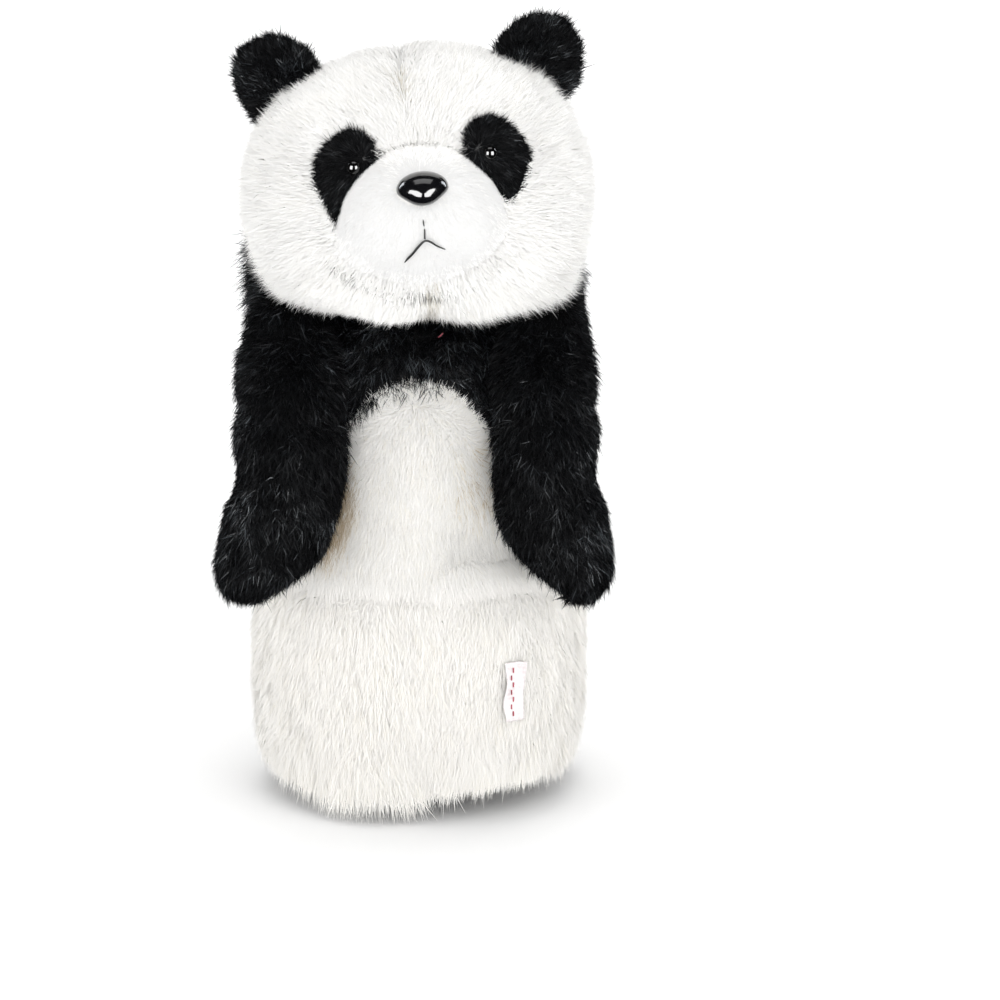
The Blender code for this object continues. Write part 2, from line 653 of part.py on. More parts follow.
thread("mouth_stitch_upper", on_muzzle([(0, -0.0115), (0.0002, -0.0165), (0, -0.0212)], 0.0011),
       0.0006, "black_thread", nod_axis)
thread("mouth_stitch_lower",
       on_muzzle([(-0.0098, -0.0325), (-0.0050, -0.0278), (0, -0.0228), (0.0050, -0.0258),
                  (0.0086, -0.0292)], 0.0011), 0.0006, "black_thread", nod_axis)

# ---------------------------------------------------------------- arms
for side, name in ((-1, "left"), (1, "right")):
    pivot = Vector((side * SHOULDER[0], SHOULDER[1], SHOULDER[2]))
    swing = joint_axis("shoulder_axis_" + name, pivot)

    def arm_skin(degrees, z, inset=0.0, side=side):
        out, y, wide, deep = row_at(ARM, z)
        c, s = math.cos(math.radians(degrees)), math.sin(math.radians(degrees))
        return Vector((side * out + max(wide - inset, 0) * c, y + max(deep - inset, 0) * s, z))

    heights = sorted(row[0] for row in ARM)
    shown = [heights[0] + 0.0006, *heights[1:-1], heights[-1] - 0.0006]
    low, high = shown[0], shown[-1]

    def arm_inner(degrees, z, f=arm_skin, low=low, high=high):
        rise = 0.0030 * (max(1 - (z - low) / 0.006, 0) - max(1 - (high - z) / 0.006, 0))
        at = f(degrees, z, 0.0028 + max(z - 0.175, 0) * 0.040)
        return Vector((at.x, at.y, z + rise))

    for part, first, sign in (("front", 180, -1), ("back", 0, 1)):
        shell(f"arm_{name}_{part}", arm_skin, arm_inner, spread(first, first + 180, 6), shown,
              Vector((0, sign * GAP / 2, 0)), "black_plush", swing)
    core = [z + shift for z, shift in zip(heights, [0.0042, 0.0035] + [0] * 6 + [-0.0038, -0.0042])]
    lift = dict(zip(core, heights))
    skinned(f"arm_{name}_filling",
            lambda a, z, f=arm_skin, m=lift: Vector((*f(a, m[z], 0.0040 + max(z - 0.175, 0) * 0.055)[:2], z)), core, 14,
            "filling", swing)

# ---------------------------------------------------------------- trims
seat = oval(SKIRT, 360 - math.degrees(math.acos((LABEL_X / 0.0702) ** (SQUARE / 2))), LABEL_Z)
normal = Vector((seat.x ** 1.2 / 0.0702 ** 2.2, -abs(seat.y) ** 1.2 / 0.0667 ** 2.2, 0)).normalized()
plate = Matrix.Translation(seat + normal * 0.0009) @ normal.to_track_quat("Z", "Y").to_matrix().to_4x4()
work = bmesh.new()
bmesh.ops.create_cube(work, size=1)
work.transform(plate @ Matrix.Diagonal((LABEL_W, LABEL_H, 0.0008, 1)))
tag = bpy.data.meshes.new("side_label")
work.to_mesh(tag)
work.free()
add("side_label", tag, "label_cloth")
thread("label_stitch", [plate @ Vector((0.0, v, 0.0011)) for v in (-0.0115, 0.0, 0.0115)], 0.0004,
       "red_thread")
tail = [torso_skin(270 + a, z) + Vector((0, -0.0012, 0.0012)) for a, z in ((5.5, 0.2055), (8.5, 0.2085))]
thread("seam_thread", tail, 0.0004, "red_thread")
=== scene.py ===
"""The looks of the plush panda driver head cover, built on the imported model.

Axes: +Z up along the club's shaft, the face towards -Y. Everything is in metres.
Fur is real geometry: tapered ribbons rooted on shaped skins, combed, clumped and shaded softly.
"""

import itertools
import math

import bmesh
import bpy
import numpy as np
from mathutils import Matrix, Vector


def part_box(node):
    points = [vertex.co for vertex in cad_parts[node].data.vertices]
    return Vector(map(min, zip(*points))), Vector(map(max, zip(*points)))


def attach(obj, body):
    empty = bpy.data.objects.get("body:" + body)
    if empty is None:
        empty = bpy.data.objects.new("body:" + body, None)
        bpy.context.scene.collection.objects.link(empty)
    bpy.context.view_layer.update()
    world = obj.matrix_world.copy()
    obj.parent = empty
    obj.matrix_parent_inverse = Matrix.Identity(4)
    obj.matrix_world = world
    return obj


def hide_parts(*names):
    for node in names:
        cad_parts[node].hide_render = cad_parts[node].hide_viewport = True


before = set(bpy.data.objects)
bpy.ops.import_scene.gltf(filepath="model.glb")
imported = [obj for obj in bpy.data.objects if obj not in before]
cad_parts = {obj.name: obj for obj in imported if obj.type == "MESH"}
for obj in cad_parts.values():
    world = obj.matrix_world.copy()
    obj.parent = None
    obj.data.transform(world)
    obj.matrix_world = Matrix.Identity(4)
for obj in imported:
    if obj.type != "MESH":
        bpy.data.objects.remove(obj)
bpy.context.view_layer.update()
SIDES = ((-1, "left"), (1, "right"))     # the viewer's left and right

# ---------------------------------------------------------------- shape tables (as in the CAD)
SQUARE = 2.2
TORSO = [
    (0.0920, 0.0700, -0.0660, 0.0660), (0.1050, 0.0735, -0.0672, 0.0672),
    (0.1250, 0.0748, -0.0675, 0.0675), (0.1550, 0.0750, -0.0670, 0.0672),
    (0.1780, 0.0750, -0.0620, 0.0670), (0.1960, 0.0742, -0.0490, 0.0660),
    (0.2090, 0.0725, -0.0320, 0.0640), (0.2190, 0.0715, -0.0140, 0.0620),
    (0.2280, 0.0690, 0.0060, 0.0590), (0.2360, 0.0620, 0.0180, 0.0540),
    (0.2415, 0.0480, 0.0260, 0.0470), (0.2440, 0.0290, 0.0310, 0.0410),
    (0.2447, 0.0000, 0.0360, 0.0360),
]
SKIRT = [
    (0.0063, 0.0675, -0.0640, 0.0640), (0.0300, 0.0690, -0.0655, 0.0655),
    (0.0600, 0.0705, -0.0670, 0.0670), (0.0840, 0.0702, -0.0665, 0.0665),
]
POUCH = [
    (0.0920, 0.0660, -0.0619, 0.0619), (0.1050, 0.0691, -0.0627, 0.0629),
    (0.1250, 0.0707, -0.0634, 0.0634), (0.1550, 0.0708, -0.0627, 0.0631),
    (0.1690, 0.0697, -0.0600, 0.0625), (0.1800, 0.0640, -0.0530, 0.0580),
    (0.1870, 0.0480, -0.0390, 0.0440), (0.1900, 0.0250, -0.0200, 0.0240),
    (0.1906, 0.0000, 0.0020, 0.0020),
]
ARM = [
    (0.2250, 0.0575, -0.0345, 0.0000, 0.0000), (0.2222, 0.0575, -0.0350, 0.0095, 0.0080),
    (0.2120, 0.0573, -0.0385, 0.0165, 0.0125), (0.1930, 0.0570, -0.0570, 0.0203, 0.0155),
    (0.1700, 0.0575, -0.0690, 0.0212, 0.0165), (0.1500, 0.0585, -0.0735, 0.0218, 0.0168),
    (0.1300, 0.0610, -0.0755, 0.0232, 0.0178), (0.1120, 0.0640, -0.0760, 0.0240, 0.0182),
    (0.0985, 0.0670, -0.0765, 0.0180, 0.0135), (0.0935, 0.0680, -0.0765, 0.0000, 0.0000),
]
ARCH_Z, ARCH_MID, ARCH_HALF, BIB_FOOT, BACK_SPLIT = 0.186, 0.150, 0.034, 0.058, 0.150
A, B, C, POWER = 0.070, 0.053, 0.056, 2.25
HEAD = (
    Matrix.Translation((0.0, -0.0432, 0.2768))
    @ Matrix.Rotation(math.radians(3), 4, "Z")
    @ Matrix.Rotation(math.radians(-5.5), 4, "Y")
    @ Matrix.Rotation(math.radians(-9), 4, "X")
)
MUZ_Z, MUZ_A, MUZ_C, MUZ_H = -0.017, 0.0365, 0.033, 0.0185
EYE_X, EYE_Z = 0.0291, 0.0103
PATCH_X, PATCH_Z, PATCH_A, PATCH_C, PATCH_TILT = 0.0335, 0.0075, 0.0115, 0.0178, math.radians(25)
FACE_X = 0.0026                          # the sewn face sits this far to +X of the head's middle
SPLIT_X = 0.0006                         # the crease in the chin
PART_X = -0.002                          # the parting on the forehead
NOSE_Z, NOSE_A, NOSE_C, NOSE_H = -0.0015, 0.0110, 0.0072, 0.0075
EAR_X, EAR_Y, EAR_Z, EAR_A, EAR_C = 0.0575, -0.004, 0.0480, 0.0175, 0.0185
NECK_BASE, NECK_AXIS = Vector((0, -0.0140, 0.2190)), Vector((0, -0.447, 0.894)).normalized()
LABEL_X, LABEL_Z = 0.043, 0.047
WAIST_Z = 0.0920                         # the seam above the elastic
FLOOR = -0.0160                          # below the hem's lower edge, for the pile that hangs past it
PILE_FLOOR = FLOOR + 0.0004


# ---------------------------------------------------------------- numbers
def rows_at(rows, z):
    """A section table's values at heights z, by a smooth curve through its rows."""
    rows = np.array(sorted(rows), float)
    zs, vals = rows[:, 0], rows[:, 1:]
    z = np.clip(np.atleast_1d(np.asarray(z, float)), zs[0], zs[-1])
    i = np.clip(np.searchsorted(zs, z, side="right") - 1, 0, len(zs) - 2)
    step = np.diff(zs)
    secant = np.diff(vals, axis=0) / step[:, None]
    slope = np.empty_like(vals)
    slope[0], slope[-1] = secant[0], secant[-1]
    low, high = secant[:-1], secant[1:]
    total = np.where(np.abs(low + high) < 1e-12, 1.0, low + high)
    slope[1:-1] = np.where(low * high <= 0, 0.0, 2 * low * high / total)
    h, t = step[i][:, None], ((z - zs[i]) / step[i])[:, None]
    return (
        (2 * t**3 - 3 * t**2 + 1) * vals[i] + (t**3 - 2 * t**2 + t) * slope[i] * h
        + (3 * t**2 - 2 * t**3) * vals[i + 1] + (t**3 - t**2) * slope[i + 1] * h
    )


def power(value, p):
    return np.copysign(np.abs(value) ** p, value)


def oval(rows, degrees, z, inset=0.0):
    """Points of a lofted skin: 0 degrees is +X, 90 the back, 270 the front."""
    half, front, back = rows_at(rows, z).T
    mid, deep = (front + back) / 2, np.maximum((back - front) / 2 - inset, 0)
    half = np.maximum(half - inset, 0)
    turn = np.radians(degrees)
    x, y = half * power(np.cos(turn), 2 / SQUARE), mid + deep * power(np.sin(turn), 2 / SQUARE)
    return np.stack([x, y, np.broadcast_to(z, half.shape)], axis=-1)


def bib_angle(z):
    """Half the angle about the front that the white bib takes at heights z."""
    z = np.atleast_1d(np.asarray(z, float))
    arch = ARCH_HALF * np.sqrt(np.clip(1 - ((z - ARCH_MID) / (ARCH_Z - ARCH_MID)) ** 2, 0, 1))
    low = np.clip((ARCH_MID - z) / (ARCH_MID - WAIST_Z), 0, 1)
    half = np.where(z > ARCH_MID, arch, ARCH_HALF + (BIB_FOOT - ARCH_HALF) * low**1.3)
    share = np.clip(half / np.maximum(rows_at(TORSO, z)[:, 0], 1e-4), 0, 1)
    return np.where(z >= ARCH_Z, 0.0, np.degrees(np.arcsin(share ** (SQUARE / 2))))


def x_way(value):
    """Vectors of these lengths along +X."""
    return np.stack([value, 0 * value, 0 * value], axis=1)


def round_out(p, half, deep):
    """Level unit vectors that point out of an oval of these half sizes."""
    return unit(np.stack([p[:, 0] / half**2, p[:, 1] / deep**2, 0 * p[:, 2]], axis=1))


R_HEAD = np.array(HEAD.to_3x3())
T_HEAD = np.array(HEAD.translation)


def to_world(p):
    return p @ R_HEAD.T + T_HEAD


def to_head(p):
    return (p - T_HEAD) @ R_HEAD


def head_front(x, z, out=0.0):
    """The head's front at x, z in its own frame, moved outwards."""
    rest = np.clip(1 - (np.abs(x) / A) ** POWER - (np.abs(z) / C) ** POWER, 0, 1)
    p = np.stack([x, -B * rest ** (1 / POWER), z], axis=-1)
    return p + unit(head_gradient(p)) * np.asarray(out)[..., None]


def head_gradient(p):
    size = np.array([A, B, C])
    return np.sign(p) * (np.abs(p) / size) ** (POWER - 1) / size


def unit(v):
    return v / np.maximum(np.linalg.norm(v, axis=-1, keepdims=True), 1e-12)


def bump(distance, width):
    return np.exp(-((distance / width) ** 2))


def smooth(value, low, high):
    t = np.clip((value - low) / (high - low), 0, 1)
    return t * t * (3 - 2 * t)


def ripple(p, scale, seed):
    """Smooth noise from -1 to 1, from a few crossed waves."""
    rng = np.random.default_rng(seed)
    total = np.zeros(p.shape[:-1])
    for octave in (1.0, 1.9, 3.1):
        for _ in range(3):
            way = unit(rng.normal(size=3)) * octave / scale * 2 * math.pi
            total += np.sin(p @ way + rng.uniform(0, 6.28)) / octave / 4.4
    return total


# ---------------------------------------------------------------- materials
def node_material(name, build):
    found = bpy.data.materials.new(name)
    found.use_nodes = True
    tree = found.node_tree
    build(tree, tree.nodes["Principled BSDF"])
    return found


def add_node(tree, kind, **values):
    made = tree.nodes.new(kind)
    for key, value in values.items():
        if key in made.inputs:
            made.inputs[key].default_value = value
        else:
            setattr(made, key, value)
    return made


def set_inputs(shader, **values):
    """Sets a shader's inputs by name, with _ for a space."""
    for key, value in values.items():
        shader.inputs[key.replace("_", " ")].default_value = value


def relief(tree, shader, source, strength, distance):
    bumps = add_node(tree, "ShaderNodeBump", Strength=strength, Distance=distance)
    tree.links.new(source, bumps.inputs["Height"])
    tree.links.new(bumps.outputs["Normal"], shader.inputs["Normal"])


def cloth(name, dark, light, scale=900.0, rough=0.85, sheen=0.3, bump_size=0.25):
    """Woven or knitted backing: two tones, a fine thread grid and slow mottling."""
    def build(tree, shader):
        link = tree.links.new
        place = add_node(tree, "ShaderNodeTexCoord")
        weave = add_node(tree, "ShaderNodeMath", operation="MAXIMUM")
        for k, axis in enumerate(("X", "Z")):
            wave = add_node(tree, "ShaderNodeTexWave", wave_type="BANDS", bands_direction=axis,
                            Scale=scale / 20, Distortion=1.2, Detail=1.0)
            link(place.outputs["Object"], wave.inputs["Vector"])
            link(wave.outputs["Fac"], weave.inputs[k])
        spots = add_node(tree, "ShaderNodeTexNoise", Scale=60.0, Detail=4.0)
        link(place.outputs["Object"], spots.inputs["Vector"])
        mixed = add_node(tree, "ShaderNodeMath", operation="MULTIPLY")
        link(weave.outputs[0], mixed.inputs[0])
        link(spots.outputs["Fac"], mixed.inputs[1])
        ramp = add_node(tree, "ShaderNodeValToRGB")
        for stop, colour, at in zip(ramp.color_ramp.elements, (dark, light), (0.1, 0.6)):
            stop.color, stop.position = (*colour, 1), at
        link(mixed.outputs[0], ramp.inputs["Fac"])
        link(ramp.outputs["Color"], shader.inputs["Base Color"])
        relief(tree, shader, weave.outputs[0], bump_size, 0.0004)
        set_inputs(shader, Roughness=rough, Sheen_Weight=sheen)
    return node_material(name, build)


def moulded(name, colour, rough, coat, grain=0.02):
    """Moulded gloss plastic: faint flow marks in the gloss and a clear skin."""
    def build(tree, shader):
        place = add_node(tree, "ShaderNodeTexCoord")
        flow = add_node(tree, "ShaderNodeTexNoise", Scale=140.0, Detail=3.0)
        tree.links.new(place.outputs["Object"], flow.inputs["Vector"])
        ramp = add_node(tree, "ShaderNodeMapRange")
        set_inputs(ramp, To_Min=rough * 0.7, To_Max=rough * 1.4)
        tree.links.new(flow.outputs["Fac"], ramp.inputs["Value"])
        tree.links.new(ramp.outputs["Result"], shader.inputs["Roughness"])
        relief(tree, shader, flow.outputs["Fac"], grain, 0.0003)
        set_inputs(shader, Base_Color=(*colour, 1), Coat_Weight=coat, Coat_Roughness=0.04,
                   Specular_IOR_Level=0.6)
    return node_material(name, build)


def fibre(name, colour, rough, sheen, specular):
    """One shade of pile fibre. Its detail is in the geometry, so the shader is plain."""
    def build(tree, shader):
        set_inputs(shader, Base_Color=(*colour, 1), Roughness=rough, Sheen_Weight=sheen,
                   Sheen_Roughness=0.4, Specular_IOR_Level=specular)
    return node_material("fibre_" + name, build)


def pale(sheen, rough=0.75, specular=0.10, **tones):
    """The shades of one pale pile, from the main one to the deepest."""
    return [fibre(name, colour, rough, sheen, specular) for name, colour in tones.items()]


WHITE_SKIN = cloth("plush_backing_white", (0.86, 0.85, 0.81), (0.93, 0.92, 0.90))
IVORY_SKIN = cloth("plush_backing_ivory", (0.84, 0.81, 0.73), (0.92, 0.90, 0.85))
BLACK_SKIN = cloth("plush_backing_black", (0.0016, 0.0016, 0.0020), (0.006, 0.006, 0.007), sheen=0.0)
LINING = cloth("lining_weave", (0.020, 0.020, 0.024), (0.075, 0.075, 0.085), 1600, 0.6, bump_size=0.5)
ELASTIC = cloth("elastic_knit", (0.40, 0.39, 0.37), (0.72, 0.70, 0.66), 1300, bump_size=0.7)
FILLING = cloth("filling_wadding", (0.62, 0.62, 0.60), (0.86, 0.86, 0.84), 300, bump_size=0.6)
SATIN = cloth("label_satin", (0.72, 0.66, 0.665), (0.82, 0.775, 0.78), 2600, 0.5, 0.2)
RED = cloth("red_thread_twist", (0.16, 0.004, 0.014), (0.36, 0.012, 0.040), 2400, 0.6)
BLACK_THREAD = cloth("black_thread_twist", (0.002, 0.002, 0.002), (0.008, 0.008, 0.008), 2400, 0.7, 0.0)
GLOSS = moulded("black_moulded_gloss", (0.004, 0.004, 0.005), 0.13, 0.2)
GLASS_EYE = moulded("black_polished_eye", (0.003, 0.003, 0.003), 0.05, 0.3, grain=0.0)
WASHER = cloth("washer_nylon", (0.60, 0.60, 0.58), (0.78, 0.78, 0.76), 300, 0.4, 0.0, 0.05)

HEAD_WHITE = pale(0.2, head_white=(0.945, 0.94, 0.925), head_soft=(0.935, 0.925, 0.895),
                  head_shade=(0.91, 0.895, 0.85))
# The muzzle's white is the head's white plush painted darker: painted shade for the self-shadow that its
# short pile doesn't throw.
MUZZLE_SHADED_WHITE = pale(0.1, specular=0.08, muzzle_white=(0.79, 0.79, 0.785), muzzle_soft=(0.775, 0.77, 0.76))
IVORY = pale(0.25, ivory=(0.975, 0.96, 0.93), ivory_warm=(0.965, 0.945, 0.895),
             ivory_deep=(0.95, 0.92, 0.85))
# The bib's white is the sleeve's ivory plush painted darker: painted shade for the light that the belly's
# bulge catches.
BIB_SHADED = pale(0.15, bib=(0.905, 0.895, 0.87), bib_warm=(0.895, 0.875, 0.82), bib_deep=(0.88, 0.84, 0.75))
# Sand and tan: painted shadow beside the left arm, partly a warm underfur tone.
SHADOWED = pale(0.1, sand=(0.78, 0.70, 0.56), tan=(0.52, 0.42, 0.29))
# Grey hairs: painted shade on the belly's fold above the waist.
FOLD_SHADE = pale(0.3, 0.6, fold=(0.80, 0.79, 0.765), fold_deep=(0.70, 0.69, 0.66))
# Tan and grey hairs: painted shade in creases: over the muzzle's top, in the forehead's parting and in the
# chin's crease.
CREASE_SHADE = pale(0.3, 0.6, brow_tan=(0.72, 0.68, 0.60), brow_soft=(0.84, 0.83, 0.80))
# The two lighter black shades are partly the fibre's own bluish-grey tips and partly painted sheen; the piles
# pick them more where their sheen is painted.
BLACK = [fibre(name, colour, rough, 0.0, specular) for name, colour, rough, specular in (
    ("black", (0.0024, 0.0026, 0.0032), 0.60, 0.03),
    ("black_soft", (0.0060, 0.0070, 0.0085), 0.50, 0.07),
    ("black_sheen", (0.026, 0.031, 0.036), 0.42, 0.24),
    ("black_sheen_bright", (0.080, 0.094, 0.104), 0.42, 0.34),
)]


# ---------------------------------------------------------------- meshes
def add_object(name, data):
    made = bpy.data.objects.new(name, data)
    bpy.context.scene.collection.objects.link(made)
    return made


def smooth_mesh(name, points, faces, material):
    mesh = bpy.data.meshes.new(name)
    mesh.from_pydata([tuple(map(float, p)) for p in points], [], [tuple(map(int, f)) for f in faces])
    mesh.polygons.foreach_set("use_smooth", [True] * len(mesh.polygons))
    mesh.materials.append(material)
    mesh.update()
    return mesh


def new_mesh(name, points, faces, material):
    return add_object(name, smooth_mesh(name, points, faces, material))


def grid_faces(nu, nv, wrap_u=False, wrap_v=False):
    """The quads of a grid of nv rows of nu points."""
    faces = []
    for j in range(nv if wrap_v else nv - 1):
        row, above = j * nu, (j + 1) % nv * nu
        for i in range(nu if wrap_u else nu - 1):
            k = (i + 1) % nu
            faces.append((row + i, row + k, above + k, above + i))
    return faces


def clean(obj, outward=None):
    """Welds doubled points and turns every face out."""
    work = bmesh.new()
    work.from_mesh(obj.data)
    bmesh.ops.remove_doubles(work, verts=work.verts, dist=1e-5)
    bmesh.ops.recalc_face_normals(work, faces=work.faces)
    if outward is not None:
        work.normal_update()
        away = sum(f.normal.dot(f.calc_center_median() - Vector(outward)) * f.calc_area() for f in work.faces)
        if away < 0:
            bmesh.ops.reverse_faces(work, faces=work.faces)
    elif work.calc_volume(signed=True) < 0:
        bmesh.ops.reverse_faces(work, faces=work.faces)
    work.to_mesh(obj.data)
    work.free()
    obj.data.update()
    return obj


def walled(obj, thick):
    """Gives an open sheet its real thickness, inwards, as one closed mesh."""
    points, _, normals = arrays(obj)
    count, sheet = len(points), obj.data
    quads = [tuple(p.vertices) for p in sheet.polygons]
    edges = dict.fromkeys(edge for face in quads for edge in zip(face, face[1:] + face[:1]))
    faces = quads + [tuple(count + i for i in reversed(f)) for f in quads]
    faces += [(b, a, count + a, count + b) for a, b in edges if (b, a) not in edges]
    both = np.concatenate([points, points - normals * thick])
    obj.data = smooth_mesh(sheet.name + "_walled", both, faces, sheet.materials[0])
    return obj


def arrays(obj):
    """(points, triangles, point normals) of a mesh."""
    mesh = obj.data
    mesh.calc_loop_triangles()
    points, normals = (np.empty(len(mesh.vertices) * 3) for _ in range(2))
    mesh.vertices.foreach_get("co", points)
    mesh.vertices.foreach_get("normal", normals)
    tris = np.empty(len(mesh.loop_triangles) * 3, np.int32)
    mesh.loop_triangles.foreach_get("vertices", tris)
    return points.reshape(-1, 3), tris.reshape(-1, 3), normals.reshape(-1, 3)


def polar(rings, around, ease=1.0):
    """(radius from 0 to 1, cosine, sine) for each point of rings about a middle."""
    radius, turn = np.meshgrid(np.linspace(0, 1, rings) ** ease,
                               np.linspace(0, 2 * np.pi, around, endpoint=False), indexing="ij")
    return radius.ravel(), np.cos(turn).ravel(), np.sin(turn).ravel()


def tube_grid(heights, count):
    """(degrees, heights) for each point of rings of this count at these heights."""
    z, degrees = np.meshgrid(heights, np.linspace(0, 360, count, endpoint=False), indexing="ij")
    return degrees.ravel(), z.ravel()


def pad(name, points, around, rings, material):
    """A closed pad: the points of its upper sheet of rings, then of its lower one, joined at the rim."""
    size = len(points) // 2
    last = size - around
    sheet = grid_faces(around, rings, True)
    faces = sheet + [tuple(size + i for i in reversed(f)) for f in sheet]
    for i in range(around):
        k = (i + 1) % around
        faces.append((last + i, last + k, size + last + k, size + last + i))
    return clean(new_mesh(name, points, faces, material))


def lathe(name, profile, turns, place, material):
    """A round solid from (radius, height) pairs."""
    steps = [2 * math.pi * i / turns for i in range(turns)]
    points = [place @ Vector((r * math.cos(t), r * math.sin(t), h)) for r, h in profile for t in steps]
    return clean(new_mesh(name, points, grid_faces(turns, len(profile), True), material))


def stands_for(piece, body, slot, *nodes, fill=None):
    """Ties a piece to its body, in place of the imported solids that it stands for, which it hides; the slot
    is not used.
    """
    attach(piece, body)
    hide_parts(*nodes)


def thread(name, runs, radius, material, body, node, slot, tapers=None, kind="NURBS", detail=3):
    """Sewn thread: one round curve through each run of points."""
    curve = bpy.data.curves.new(name, "CURVE")
    curve.dimensions, curve.use_fill_caps = "3D", True
    curve.bevel_depth, curve.bevel_resolution = radius, detail
    for points in runs:
        line = curve.splines.new(kind)
        line.points.add(len(points) - 1)
        for k, (knot, at) in enumerate(zip(line.points, points)):
            knot.co = (*at, 1)
            knot.radius = 1.0 if tapers is None else tapers[k]
        line.use_endpoint_u, line.order_u = True, 3
    curve.materials.append(material)
    stands_for(add_object(name, curve), body, slot, node)


# ---------------------------------------------------------------- fur
DOWN = np.array([0.0, 0.0, -1.0])
FORWARD = np.array([0.0, -0.94, 0.34])       # towards the front and the light
DENSE = 1.0
WIDER = 1.0
STEPS = np.array([0.0, 0.5, 1.0])            # along a ribbon: root, middle and tip
EDGE = (0.75, 1.0)                           # the share of its width that a ribbon has at root and middle
CORNERS = np.array([0, 1, 3, 2, 2, 3, 4])    # a quad from root to middle and a triangle up to the tip
MOST_FACES = 175000                          # of one mesh


def scatter(obj, count, seed, keep=None, weight=None):
    """Points spread evenly over a mesh, with the skin's normals."""
    rng = np.random.default_rng(seed)
    count = int(count * DENSE)
    points, tris, normals = arrays(obj)
    a, b, c = (points[tris[:, k]] for k in range(3))
    area = np.linalg.norm(np.cross(b - a, c - a), axis=1)
    if weight is not None:
        area = area * weight((a + b + c) / 3)
    total = np.cumsum(area)
    pick = np.searchsorted(total, rng.uniform(0, total[-1], count))
    u, v = rng.uniform(size=(2, count))
    over = u + v > 1
    u[over], v[over] = 1 - u[over], 1 - v[over]
    w = np.stack([1 - u - v, u, v], axis=1)
    at = (points[tris[pick]] * w[..., None]).sum(1)
    out = unit((normals[tris[pick]] * w[..., None]).sum(1))
    if keep is not None:
        good = keep(at)
        at, out = at[good], out[good]
    return at, out


def cell_random(cells, seed):
    """Three even random numbers for each whole-number cell."""
    mixed = (cells.astype(np.int64) * np.array([73856093, 19349663, 83492791])).sum(1) + seed * 7919
    state = mixed.astype(np.uint64)
    found = []
    for k in range(3):
        state = state ^ (state >> np.uint64(33))
        state = state * np.uint64(0xFF51AFD7ED558CCD)
        state = state ^ (state >> np.uint64(29))
        state = state * np.uint64(0xC4CEB9FE1A85EC53) + np.uint64(k + 1)
        state = state ^ (state >> np.uint64(32))
        found.append((state >> np.uint64(11)).astype(float) / 2**53)
    return np.stack(found, axis=1)


def tufts(points, size, seed):
    """The nearest tuft centre of each point, and one random number for each tuft."""
    cell = np.floor(points / size).astype(np.int64)
    best, centre, own = np.full(len(points), 1e9), np.zeros_like(points), np.zeros(len(points))
    for step in itertools.product((-1, 0, 1), repeat=3):
        near = cell + np.array(step)
        chance = cell_random(near, seed)
        at = (near + chance) * size
        gap = ((at - points) ** 2).sum(1)
        closer = gap < best
        best[closer], centre[closer], own[closer] = gap[closer], at[closer], chance[closer, 0]
    return centre, own


def across(vector, normal):
    """The part of a direction that lies in the skin, as a unit vector."""
    return unit(vector - (vector * normal).sum(-1, keepdims=True) * normal)


def spread(value, count):
    return np.broadcast_to(np.asarray(value, float), (count,))


def ribbon_mesh(name, points, shade, pick, shades):
    """One mesh of ribbons: five points each, one shading direction and one choice of shade."""
    mesh = bpy.data.meshes.new(name)
    total, stride = points.shape[:2]
    loops = np.arange(total)[:, None] * stride + CORNERS
    starts = np.arange(total)[:, None] * len(CORNERS) + np.array([0, 4])
    mesh.vertices.add(total * stride)
    mesh.vertices.foreach_set("co", points.astype(np.float32).reshape(-1))
    mesh.loops.add(loops.size)
    mesh.loops.foreach_set("vertex_index", loops.reshape(-1).astype(np.int32))
    mesh.polygons.add(starts.size)
    mesh.polygons.foreach_set("loop_start", starts.reshape(-1).astype(np.int32))
    mesh.polygons.foreach_set("material_index", np.repeat(pick, 2).astype(np.int32))
    for material in shades:
        mesh.materials.append(material)
    mesh.update(calc_edges=True)
    custom = mesh.attributes.new("custom_normal", "FLOAT_VECTOR", "POINT")
    custom.data.foreach_set("vector", np.repeat(shade, stride, axis=0).astype(np.float32).reshape(-1))
    mesh.update()
    return mesh


